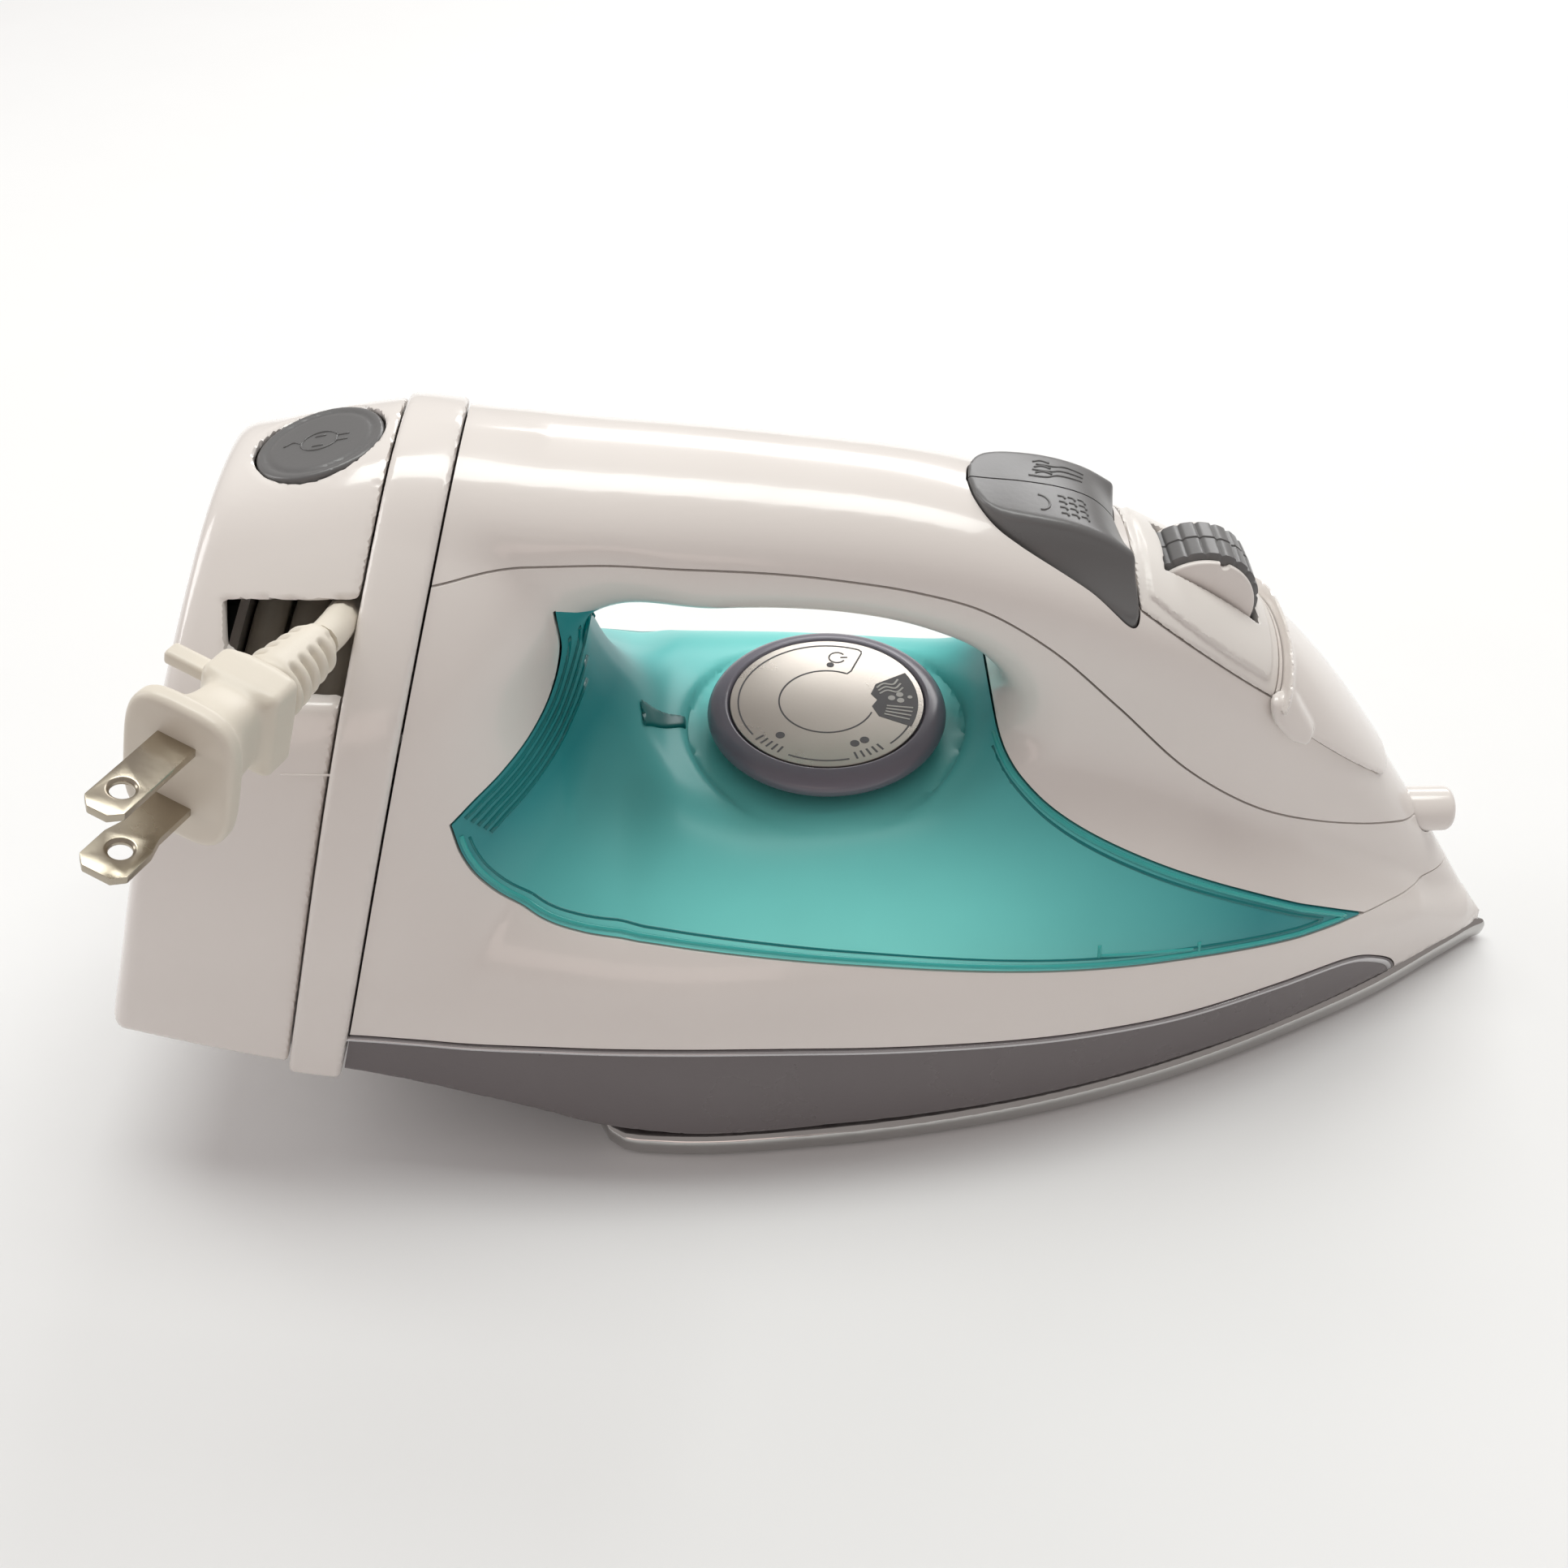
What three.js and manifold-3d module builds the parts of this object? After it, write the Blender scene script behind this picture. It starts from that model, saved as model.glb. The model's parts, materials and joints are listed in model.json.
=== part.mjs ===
// A steam iron with a cord that winds into its heel. Millimetres, +Z up, nose towards +X.
// The origin is under the middle of the iron, on the plane that the soleplate glides on.
import * as THREE from 'three';
import { mergeVertices } from 'three/addons/utils/BufferGeometryUtils.js';
import Module from 'manifold-3d';

// ---------------------------------------------------------------- driving dimensions
const LENGTH = 308; // heel to tip of the soleplate
const NOSE_X = LENGTH / 2;
const SOLE_REAR_X = -54;
const HEEL_TILT = 0.3; // how far the heel leans forward for each millimetre of height
const BAND_FRONT = -111.5; // where the tilted section planes cross z = 0
const BAND_REAR = -123;
const HEEL = -163;
const HEEL_DRAFT = 0.07; // the heel face leans a little more than the band
const WALL = 2.4;
const SEAM = 0.5; // gap between two mouldings
const GAP = 0.4; // gap between a moulding and a piece that it carries
const DIAL = { x: -3.5, z: 72.4, radius: 24.8 };
const WHEEL = { x: 67, z: 104.5, radius: 12, width: 14 };
const REEL = { x: -112.6, z: 72, radius: 42, hub: 15, axle: 4 };
const WINDING = { radius: 40, width: 20 };
const CORD_RADIUS = 3;
const BUTTON_X = 42; // the pumps stand under the two buttons, side by side
const BUTTON_Y = 8.6;
const VALVE_X = 67;
const FILL = { x: 93, z: 69, radius: 7.6 };
const NOZZLE = { x: 123, z: 43, radius: 5 };
const CORD_BUTTON = { x: -94.5, radius: 12.3 };
const BRAKE = { x: -98, y: 8, z: 121 };
const HINGE = { x: 113.4, z: 64.4, radius: 2.7 }; // of the filling door, whose lower end is round about it
const FINEST = 0.1; // detail below this is smoothed away after a cut
const PLUG = { at: [-89.6, -40.2, 126.8], heading: 69, rise: 5.9, roll: -16.4 };

// ---------------------------------------------------------------- small tools
const wasm = await Module();
wasm.setup();
const iron = new THREE.Group();

// A smooth function through a few points: Hermite spans with central slopes.
function profile(points) {
  const slope = points.map((p, i) => {
    const a = points[Math.max(i - 1, 0)];
    const b = points[Math.min(i + 1, points.length - 1)];
    return (b[1] - a[1]) / (b[0] - a[0]);
  });
  return (x) => {
    const last = points.length - 1;
    if (x <= points[0][0]) return points[0][1];
    if (x >= points[last][0]) return points[last][1];
    const i = points.findIndex((p) => p[0] > x) - 1;
    const step = points[i + 1][0] - points[i][0];
    const t = (x - points[i][0]) / step;
    const rise = points[i + 1][1] - points[i][1];
    return points[i][1] + t * t * (3 - 2 * t) * rise
      + step * (t * (1 - t) * (1 - t) * slope[i] - t * t * (1 - t) * slope[i + 1]);
  };
}

// The larger of two sizes, with a fillet of size k where they cross.
function blendMax(a, b, k) {
  const h = Math.max(k - Math.abs(a - b), 0) / k;
  return Math.max(a, b) + h * h * k / 4;
}

// A closed geometry as a solid that can be joined and cut.
function solid(geometry, join = 1e-4) {
  const bare = geometry.index ? geometry.toNonIndexed() : geometry.clone();
  bare.deleteAttribute('normal');
  bare.deleteAttribute('uv');
  const merged = mergeVertices(bare, join);
  const index = Array.from(merged.index.array);
  const kept = [];
  for (let i = 0; i < index.length; i += 3) {
    const [a, b, c] = index.slice(i, i + 3);
    if (a !== b && b !== c && a !== c) kept.push(a, b, c);
  }
  return new wasm.Manifold(new wasm.Mesh({
    numProp: 3,
    vertProperties: merged.attributes.position.array,
    triVerts: new Uint32Array(kept),
  }));
}

function geometryOf(made) {
  const mesh = made.getMesh();
  const geometry = new THREE.BufferGeometry();
  geometry.setAttribute('position', new THREE.BufferAttribute(new Float32Array(mesh.vertProperties), 3));
  geometry.setIndex(new THREE.BufferAttribute(new Uint32Array(mesh.triVerts), 1));
  geometry.computeVertexNormals();
  return geometry;
}

// Adds one sub-part. The shape is a geometry or a solid.
function add(name, shape, material) {
  const mesh = new THREE.Mesh(shape.isBufferGeometry ? shape : geometryOf(shape), material);
  mesh.name = name;
  iron.add(mesh);
  return mesh;
}

// The biggest piece of a cut shape, without the crumbs and slivers that the cuts leave.
function largest(made) {
  const biggest = (whole) => whole.decompose().sort((a, b) => b.volume() - a.volume())[0];
  return biggest(solid(geometryOf(biggest(made.simplify(FINEST))), 1e-3));
}

// A prism across the iron, from y0 to y1, of an outline of [x, z] points.
function prism(outline, y0, y1) {
  const shape = new THREE.Shape(outline.map(([x, z]) => new THREE.Vector2(x, z)));
  const geometry = new THREE.ExtrudeGeometry(shape, { depth: y1 - y0, bevelEnabled: false, steps: 1 });
  geometry.rotateX(Math.PI / 2);
  geometry.translate(0, y1, 0);
  return solid(geometry);
}

// An upright prism, from z0 to z1, of an outline of [x, y] points.
function column(outline, z0, z1) {
  const shape = new THREE.Shape(outline.map(([x, y]) => new THREE.Vector2(x, y)));
  const geometry = new THREE.ExtrudeGeometry(shape, { depth: z1 - z0, bevelEnabled: false, steps: 1 });
  geometry.translate(0, 0, z0);
  return solid(geometry);
}

// A turned piece: [radius, height] points from the axis to the axis, or a closed ring of them.
function turned(points, segments = 24) {
  return new THREE.LatheGeometry(points.map(([r, h]) => new THREE.Vector2(r, h)), segments);
}

// A lathe has +Y as its axis: these stand it up, lay it across the iron, or along the reel's axle.
const upright = (geometry) => geometry.rotateX(Math.PI / 2);
const REEL_TILT = Math.atan(HEEL_TILT);
const alongReel = (geometry) => geometry.rotateZ(-Math.PI / 2).rotateY(REEL_TILT);

function rod(radius, length, segments = 16) {
  return new THREE.CylinderGeometry(radius, radius, length, segments);
}

// A smooth run of points through the given ones.
function through(points, count, closed = false) {
  const curve = new THREE.CatmullRomCurve3(
    points.map(([x, z]) => new THREE.Vector3(x, 0, z)), closed, 'centripetal');
  return curve.getPoints(count).map((p) => [p.x, p.z]);
}

// A strip of the given width along a line of points, as a closed outline.
function strip(line, width) {
  const side = (sign) => line.map(([x, z], i) => {
    const [ax, az] = line[Math.max(i - 1, 0)];
    const [bx, bz] = line[Math.min(i + 1, line.length - 1)];
    const size = Math.hypot(bx - ax, bz - az);
    return [x - sign * (bz - az) / size * width / 2, z + sign * (bx - ax) / size * width / 2];
  });
  return side(1).concat(side(-1).reverse());
}

// A round bar along points in space: hoses, leads and springs.
function bar(points, radius, sides, steps, closed = false) {
  const curve = new THREE.CatmullRomCurve3(
    points.map(([x, y, z]) => new THREE.Vector3(x, y, z)), closed, 'centripetal');
  const ring = Array.from({ length: sides }, (_, i) => {
    const angle = i / sides * 2 * Math.PI;
    return new THREE.Vector2(radius * Math.cos(angle), radius * Math.sin(angle));
  });
  return new THREE.ExtrudeGeometry(new THREE.Shape(ring), { steps, extrudePath: curve, bevelEnabled: false });
}

// ---------------------------------------------------------------- materials
const plastic = (color, roughness) => new THREE.MeshStandardMaterial({ color, roughness, metalness: 0 });
const metal = (color, roughness) => new THREE.MeshStandardMaterial({ color, roughness, metalness: 1 });
const white = plastic(0xf1ece8, 0.22);
const grey = plastic(0x8b8b8e, 0.4);
const darkGrey = plastic(0x6a6062, 0.35);
const teal = new THREE.MeshStandardMaterial({
  color: 0x2fa9a8, roughness: 0.2, metalness: 0, transparent: true, opacity: 0.8 });
const chrome = metal(0xd9dadb, 0.12);
const aluminium = metal(0xa9abad, 0.5);
const steel = metal(0xb4b2ae, 0.3);
const nickel = metal(0xb9ad98, 0.3);
const brass = metal(0xb89a55, 0.35);
const cream = plastic(0xe9dfcf, 0.45);
const silicone = plastic(0xd8d4cc, 0.7);
const black = plastic(0x2b2b2d, 0.5);
const label = metal(0xcfc9bd, 0.3);

// ---------------------------------------------------------------- the outer form
// Top line on the middle plane, from the heel over the handle to the nose.
const topLine = profile([[-170, 133], [-108, 138.5], [-80, 143], [-45, 139.8], [-13, 136.2], [24, 129.6],
  [50, 119.5], [80, 101], [99, 82.5], [122, 51.5], [134, 34], [147, 14], [154, 7]]);
// Lower edge of the mouldings: low along the soleplate, rising to the heel.
const bottomLine = profile([[-165, 37], [-150, 33.8], [-132, 28.8], [-114.7, 24.9], [-103.5, 23.2],
  [-81.6, 18.8],
  [-66.9, 15], [-53.9, 10.6], [-40, 8], [154, 7]]);
// Half-width of the base, seen from above.
const planHalf = profile([[-165, 44], [-130, 47.5], [-104, 50], [-73, 54.5], [-45, 57], [-32, 57.3], [-8, 56],
  [18, 53], [45, 47.8], [73, 39.5], [103, 27.3], [124, 17], [143, 6.5], [153.5, 0.6]]);
// Half-width of the pod that holds the reel; it dies away under the handle.
const podHalf = profile([[-165, 44], [-130, 47.5], [-100, 49], [-82, 48.5], [-72, 46], [-64, 41], [-57, 34],
  [-51, 25], [-44, 8], [-38, 0]]);
// Height at which the base closes over, and half-width of the handle and the neck of the nose.
const domeTop = profile([[-165, 84], [-60, 80], [-40, 77], [0, 75.5], [50, 70], [90, 52],
  [120, 35], [154, 10]]);
const neckHalf = profile([[-165, 24], [-60, 21.5], [0, 20.5], [60, 20.5], [85, 19], [110, 13.5], [130, 8],
  [145, 4], [153.5, 0.6]]);

// Half-width of the outer form at height z: pod, base and neck, blended.
function halfWidth(x, z, inset = 0) {
  const top = topLine(x) - inset;
  const clamp = (v) => Math.min(Math.max(v, 0), 1);
  const pod = podHalf(x) * (1 - clamp((z - 20) / (top - 20)) ** 5.5) ** (1 / 1.3);
  const dome = Math.min(domeTop(x), top);
  const base = planHalf(x) * (1 - clamp((z - 22) / (dome - 22)) ** 3) ** 0.5;
  const neck = neckHalf(x) * (1 - clamp((z - top + 22) / 22) ** 3.4) ** 0.5;
  const round = Math.min(1, (top - z) / 12); // the fillets die away towards the top line
  return Math.max(blendMax(blendMax(base, neck, 22 * round + 0.01), pod, 8 * round + 0.01) - inset, 0.02);
}

// The outer form as one solid. An inset makes the form of the hollow inside it.
function envelope(inset) {
  const front = NOSE_X - (inset ? 6 + inset : 0.3);
  const stations = [-168, -146, -126, -108, -94, -82, -70, -59, -48, -34, -16, 4, 22, 34,
    46, 58, 70, 81, 92, 104, 116, 127, 137, 145, 150].filter((x) => x < front - 2).concat(front);
  const rows = 11;
  const rings = stations.map((x) => {
    const low = bottomLine(x) + inset;
    const high = Math.max(topLine(x) - inset, low + 0.5);
    const side = Array.from({ length: rows }, (_, i) => {
      const z = low + (high - low) * Math.sin(i / (rows - 1) * Math.PI / 2);
      return [halfWidth(x, Math.min(z, high - 0.001), inset), z];
    });
    const right = side.map(([w, z]) => new THREE.Vector3(x, -w, z));
    const left = side.map(([w, z]) => new THREE.Vector3(x, w, z)).reverse();
    return right.concat(left);
  });
  return solid(loft(rings));
}

// A closed skin over rings of points, the first ring at the heel end.
function loft(rings) {
  const size = rings[0].length;
  const points = rings.flat();
  const centre = (ring) => ring.reduce((sum, p) => sum.add(p), new THREE.Vector3()).divideScalar(size);
  points.push(centre(rings[0]), centre(rings.at(-1)));
  const index = [];
  const last = (rings.length - 1) * size;
  for (let j = 0; j < size; j++) {
    const k = (j + 1) % size;
    for (let i = 0; i < rings.length - 1; i++) {
      const [a, b] = [i * size + j, i * size + k];
      index.push(a, a + size, b, b, a + size, b + size);
    }
    index.push(points.length - 2, j, k);
    index.push(points.length - 1, last + k, last + j);
  }
  const geometry = new THREE.BufferGeometry().setFromPoints(points);
  geometry.setIndex(index);
  return geometry;
}

// The same as a solid, whichever way its rings run.
function lofted(rings) {
  const made = solid(loft(rings));
  return made.volume() > 0 ? made : solid(loft([...rings].reverse()));
}

// The hand opening, seen from the side, and the wider mouths that round its edges off.
const openingLine = [[-52.5, 99], [-49.5, 107.5], [-43, 110.7], [-30, 110.7], [-13, 110],
  [1, 108.2], [13, 104.6],
  [24, 98.5], [30, 91], [27, 80], [19, 72.6], [0, 70.6], [-22, 71], [-38, 76.5], [-48, 87]];
function grown(line, reach, floorToo = true) {
  return line.map(([x, z], i) => {
    const [ax, az] = line[(i + line.length - 1) % line.length];
    const [bx, bz] = line[(i + 1) % line.length];
    const size = Math.hypot(bx - ax, bz - az);
    const up = (bx - ax) / size;
    const share = floorToo ? 1 : Math.min(Math.max((up + 0.75) / 0.6, 0), 1);
    const by = reach(x) * share;
    return [x - (bz - az) / size * by, z + up * by];
  });
}
function openingCutter(extra = 0) {
  // [distance from the middle plane, how far the mouth has opened there at the front, and at the rear]
  const mouth = [[9, 0, 0], [16, 2.2, 0], [21, 7.5, 0.3], [27, 14, 1.5], [35, 14, 7],
    [42, 14, 16], [70, 14, 24]];
  const both = mouth.map(([y, ...open]) => [-y, ...open]).reverse().concat(mouth);
  return lofted(both.map(([y, front, rear]) => {
    const reach = (x) => front + (rear - front) * Math.min(Math.max((-28 - x) / 16, 0), 1);
    return through(grown(grown(openingLine, reach, false), () => extra), 22, true)
      .slice(0, -1).map(([x, z]) => new THREE.Vector3(x, y, z));
  }));
}

// Outlines seen from the side. Each is carried past the outer form where it ends in the open.
const seamHandle = through([[-82, 128.4], [-64, 127.6], [-49.4, 127], [-31.7, 125.8], [-13.2, 124],
  [-0.2, 121.9],
  [11.5, 119.4], [23.8, 115.2], [37, 106.2], [51.2, 92], [67, 75.2], [82.7, 63.7], [98.9, 55.9], [115.9, 50],
  [134, 42], [150, 36]], 19);
const tankRear = through([[-53.6, 117], [-53.7, 107], [-54.9, 101.6], [-56.8, 97.8], [-60, 94.6], [-64.7, 92],
  [-73.7, 86.9]], 8);
const tankLow = through([[-73.7, 86.9], [-72.6, 79.5], [-70.2, 73], [-66, 67], [-60.5, 63.2], [-52.3, 60.6],
  [-36.2, 57.9], [-14.5, 54.7], [7.6, 51.3], [31.6, 47], [61.9, 41.1], [90.9, 35.6], [112, 32.6]], 16);
const tankFront = through([[112, 32.6], [99.1, 39.6], [85.7, 46.6], [61.3, 59], [42.7, 69.3], [37, 73.5],
  [32.6, 78.1], [29.8, 81.9], [28.8, 85.8], [29, 92]], 11);
const noseSeam = [[112, 32.6], [118.7, 31.6], [127.5, 29.6], [160, 28.5]];
const skirtTop = through([[-110, 35.6], [-79.5, 35.6], [-56.5, 36.3], [-24.5, 35.7], [8, 32.1], [50.8, 26],
  [72.5, 23.4], [97.8, 22.6], [111.7, 20.6], [118.3, 17], [124.7, 11.3], [127.5, 5]], 16);

// The slab between two planes across the iron. Each plane is [x at z = 0, lean].
function slab([s0, lean0], [s1, lean1]) {
  const at = (s, lean, z) => [s + lean * z, z];
  return prism([at(s0, lean0, -20), at(s1, lean1, -20), at(s1, lean1, 190), at(s0, lean0, 190)], -90, 90);
}

// Outline of the soleplate seen from above, drawn in by an inset.
const soleHalf = profile([[-48, 56.5], [-34, 57.5], [-8, 56.4], [18, 53.5], [45, 48.3], [73, 40.1], [103, 27.9],
  [124.6, 17.4], [143.3, 6.3], [154, 0.5]]);
function soleOutline(inset) {
  const rear = SOLE_REAR_X + inset;
  const front = NOSE_X - inset * 2.2;
  const along = [0.03, 0.08, 0.15, 0.25, 0.36, 0.48, 0.6, 0.71, 0.8, 0.88, 0.94, 0.98]
    .map((part) => rear + (front - rear) * part);
  const side = [[rear, 49 - inset], [rear + 1.6, 53 - inset]]
    .concat(along.map((x) => [x, Math.max(soleHalf(x) - inset, 0.8)]));
  return side.map(([x, y]) => [x, -y]).concat([[front, 0]], side.reverse());
}

// ---------------------------------------------------------------- mouldings
const outer = envelope(0);
const proud = envelope(-1.2);
const inside = envelope(WALL);
const opening = openingCutter();
const hollow = inside.subtract(openingCutter(WALL));
const bandRear = [BAND_REAR, HEEL_TILT];
const bandFront = [BAND_FRONT, HEEL_TILT];
const shifted = ([s, lean], by) => [s + by, lean];
const heel = [HEEL, HEEL_TILT + HEEL_DRAFT];
const FAR = [190, 0];
const wireHole = solid(rod(6, 30)).rotate([0, 0, 90]).translate([-96, 0, 45]);
const dialBore = (radius) => solid(upright(rod(radius, 120, 20))).translate([DIAL.x, 0, 60]);
const valveBore = (radius) => solid(upright(rod(radius, 90, 12))).translate([VALVE_X, 0, 60]);
const nozzleHole = solid(rod(NOZZLE.radius + GAP, 40, 20))
  .rotate([0, 0, 90]).translate([NOZZLE.x, 0, NOZZLE.z]);

// The plan of the two thumb buttons, and of the round cord button.
function buttonPlan(by) {
  const half = through([[21.9 - by, 0], [22.9 - by, 5.5], [25.9 - by * 0.7, 10.2 + by * 0.7],
    [30.5, 12.9 + by],
    [43, 16.4 + by], [52.5 + by * 0.7, 18.2 + by], [51.6 + by, 10], [50 + by, 0]], 18);
  return half.slice(1, -1).map(([x, y]) => [x, -y]).reverse().concat(half);
}
function circle(x, y, radius, count) {
  return Array.from({ length: count }, (_, i) => {
    const angle = i / count * 2 * Math.PI;
    return [x + radius * Math.cos(angle), y + radius * Math.sin(angle)];
  });
}
const cordButtonHole = column(circle(CORD_BUTTON.x, 0, CORD_BUTTON.radius + GAP, 28), 125, 170);
const buttonHole = column(buttonPlan(GAP), 96, 150);

// Regions of the side view.
const aboveSeam = prism([...seamHandle, [190, 36], [190, 190], [-140, 190], [-140, 128.4]], -90, 90);
const tankOutline = [...tankRear, ...tankLow.slice(1), ...tankFront.slice(1), [20, 86], [0, 90], [-34, 107],
  [-50, 114]];
const tankRegion = prism(tankOutline, -90, 90);
const belowSkirt = prism([...skirtTop, [127.5, -20], [-140, -20], [-140, 35]], -90, 90);
const panelOutline = [[52.6, 112.3], [81.8, 90.6], [84.5, 97.6], [95, 130], [52.6, 150]];
const doorEnd = [229, 255, 281, 307, 333, 360].map((degrees) => {
  const angle = THREE.MathUtils.degToRad(degrees);
  return [HINGE.x + HINGE.radius * Math.cos(angle), HINGE.z + HINGE.radius * Math.sin(angle)];
});
const doorLow = [[82.6, 90], [88.6, 82.4], ...doorEnd, [HINGE.x + HINGE.radius, 73]];
const doorOutline = [...doorLow, [96.4, 130], [85.3, 97.3]];
const panelRegion = prism(panelOutline, -40, 40);
const doorRegion = prism(doorOutline, -40, 40);
const seamCut = (line, width = SEAM) => prism(strip(line, width), -90, 90);

const bay = column(soleOutline(6), -10, 24);
const body = outer.intersect(slab(shifted(bandFront, SEAM / 2), FAR))
  .subtract(aboveSeam)
  .subtract(tankRegion)
  .subtract(belowSkirt)
  .subtract(opening)
  .subtract(hollow.intersect(slab(shifted(bandFront, SEAM / 2 + WALL), FAR)))
  .subtract(bay)
  .subtract(seamCut(seamHandle))
  .subtract(seamCut([...tankRear, ...tankLow.slice(1)]))
  .subtract(seamCut(tankFront))
  .subtract(seamCut(skirtTop))
  .subtract(seamCut(noseSeam, 0.4))
  .subtract(wireHole)
  .subtract(nozzleHole);
add('body_shell', largest(body), white);

const cover = outer.intersect(slab(shifted(bandFront, SEAM / 2), FAR))
  .intersect(aboveSeam)
  .subtract(seamCut(seamHandle))
  .subtract(hollow.intersect(slab(shifted(bandFront, SEAM / 2 + WALL), FAR)))
  .subtract(opening)
  .subtract(buttonHole)
  .subtract(panelRegion)
  .subtract(doorRegion)
  .subtract(nozzleHole);
add('handle_cover', largest(cover), white);

const skirt = outer.intersect(slab(shifted(bandFront, SEAM / 2), FAR))
  .intersect(belowSkirt)
  .subtract(seamCut(skirtTop, 0.3))
  .subtract(inside.intersect(slab(shifted(bandFront, SEAM / 2 + WALL), FAR)))
  .subtract(bay)
  .subtract(wireHole);
add('skirt_trim', largest(skirt), darkGrey);

const band = proud.intersect(slab(shifted(bandRear, SEAM / 2), shifted(bandFront, -SEAM / 2)))
  .subtract(envelope(WALL));
add('collar_band', largest(band), white);

// The pocket is a mouth in the right wall, where the plug parks.
const pocketOutline = [[-108.8, 126.2], [-84.7, 127.4], [-87.2, 112.8], [-97.5, 112.8], [-108.8, 119.5]];
const pocket = prism(pocketOutline, -70, -14);
const reelHousing = outer.intersect(slab(heel, shifted(bandRear, -SEAM / 2)))
  .subtract(inside.intersect(slab(shifted(heel, WALL), shifted(bandRear, 5))))
  .subtract(cordButtonHole)
  .subtract(pocket);
add('reel_housing', largest(reelHousing), white);

// The water tank: a box moulding with a sleeve for the dial's spindle and one for the valve rod.
const tankOuter = outer.intersect(tankRegion)
  .subtract(opening)
  .subtract(seamCut([...tankRear, ...tankLow.slice(1)]))
  .subtract(seamCut(tankFront))
  .subtract(column(circle(DIAL.x, 0, DIAL.radius + 0.8, 32), DIAL.z - 1, 130));
const tankInner = largest(hollow.intersect(tankRegion)
  .subtract(seamCut([...tankRear, ...tankLow.slice(1)], SEAM + 2 * WALL))
  .subtract(seamCut(tankFront, SEAM + 2 * WALL)));
const fillHole = solid(upright(rod(FILL.radius - 1.4, 70, 16))).translate([FILL.x, 0, 55]);
const tank = tankOuter
  .subtract(tankInner
    .subtract(column(circle(DIAL.x, 0, DIAL.radius + 3, 32), DIAL.z - 3.2, 130))
    .subtract(dialBore(6.2))
    .subtract(valveBore(4)))
  .subtract(dialBore(4))
  .subtract(valveBore(2.4))
  .subtract(fillHole.intersect(prism([[60, 34], [130, 34], [130, 90], [60, 90]], -20, 20)));
add('water_tank', largest(tank), teal);

// ---------------------------------------------------------------- soleplate and heater
const soleRings = [[0, 2], [1.4, 0.4], [3, 0], [6.2, 0.3]].map(([z, inset]) => soleOutline(inset)
  .map(([x, y]) => new THREE.Vector3(x, y, z)));
let sole = lofted(soleRings);
const ventRows = [[-30, 40], [-6, 40], [18, 37], [42, 32], [66, 25], [88, 17], [106, 9]];
for (const [x, y] of ventRows) {
  for (const side of [-1, 1]) sole = sole.subtract(column(circle(x, side * y, 1.8, 8), -5, 10));
}
sole = sole.subtract(column(circle(124, 0, 1.8, 8), -5, 10));
add('soleplate', sole, chrome);

const HEATER_TOP = 17;
const heaterPath = [[-48, -22, HEATER_TOP], [20, -22, HEATER_TOP], [70, -15, HEATER_TOP], [94, 0, HEATER_TOP],
  [70, 15, HEATER_TOP], [20, 22, HEATER_TOP], [-48, 22, HEATER_TOP]];
// Plan of the steam chamber, and of its lid when grown.
const chamberPlan = (by) => through([[-18 - by, 0], [-12, 12 + by], [40, 13 + by], [68, 8 + by], [82 + by, 0],
  [68, -8 - by], [40, -13 - by], [-12, -12 - by]], 22, true).slice(1);
const casting = column(soleOutline(9), 6.6, HEATER_TOP)
  .subtract(column(chamberPlan(0), 10, 30))
  .subtract(solid(bar(heaterPath, 3.7, 8, 20)));
add('heater_casting', largest(casting), aluminium);
add('heating_element', bar(heaterPath, 3.2, 8, 20), steel);

// ---------------------------------------------------------------- inside the base
// A turned piece that stands upright, from [radius, height] points, at x, y.
const standing = (x, y, points, segments) => upright(turned(points, segments)).translate(x, y, 0);
const CHAMBER_LID = HEATER_TOP + 1.6;
const lid = column(chamberPlan(2.4), HEATER_TOP + 0.3, CHAMBER_LID)
  .subtract(valveBore(3));
add('chamber_lid', lid, steel);
add('thermostat', standing(DIAL.x, 0, [[0, CHAMBER_LID + 0.3], [10, CHAMBER_LID + 0.3], [10, 27], [5, 27],
  [5, 30], [0, 30]], 20), steel);
add('dial_spindle', standing(DIAL.x, 0, [[0, 30.4], [3.4, 30.4], [3.4, 71.2], [2.6, 71.2], [2.6, 75], [0, 75]],
  16), black);
add('thermal_fuse', rod(2.2, 14, 12).rotateZ(Math.PI / 2).translate(-30, 0, HEATER_TOP + 2.6), silicone);
add('valve_seat', standing(VALVE_X, 0, [[2.7, CHAMBER_LID + 0.3], [6, CHAMBER_LID + 0.3], [6, 26], [2.7, 26],
  [2.7, CHAMBER_LID + 0.3]], 16), brass);
add('valve_seal', standing(VALVE_X, 0, [[2.7, 26.3], [5, 26.3], [5, 31.4], [2.7, 31.4], [2.7, 26.3]], 16),
  silicone);
add('valve_rod', standing(VALVE_X, 0, [[0, 18], [1.4, 20], [2.1, 22], [2.1, 87.6],
  [3.6, 87.6], [3.6, 90.4], [0, 90.4]],
  12), brass);
add('terminal_block', solid(new THREE.BoxGeometry(14, 34, 12)).translate([-80, 0, 33]), black);
for (const [name, side] of [['wire_live', -1], ['wire_neutral', 1]]) {
  add(name, bar([[-72.5, side * 8, 33], [-60, side * 12, 34], [-46, side * 16, 30], [-30, side * 15, 24],
    [-16, side * 9, 23.4]], 1.3, 6, 14), side < 0 ? black : silicone);
}

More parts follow.
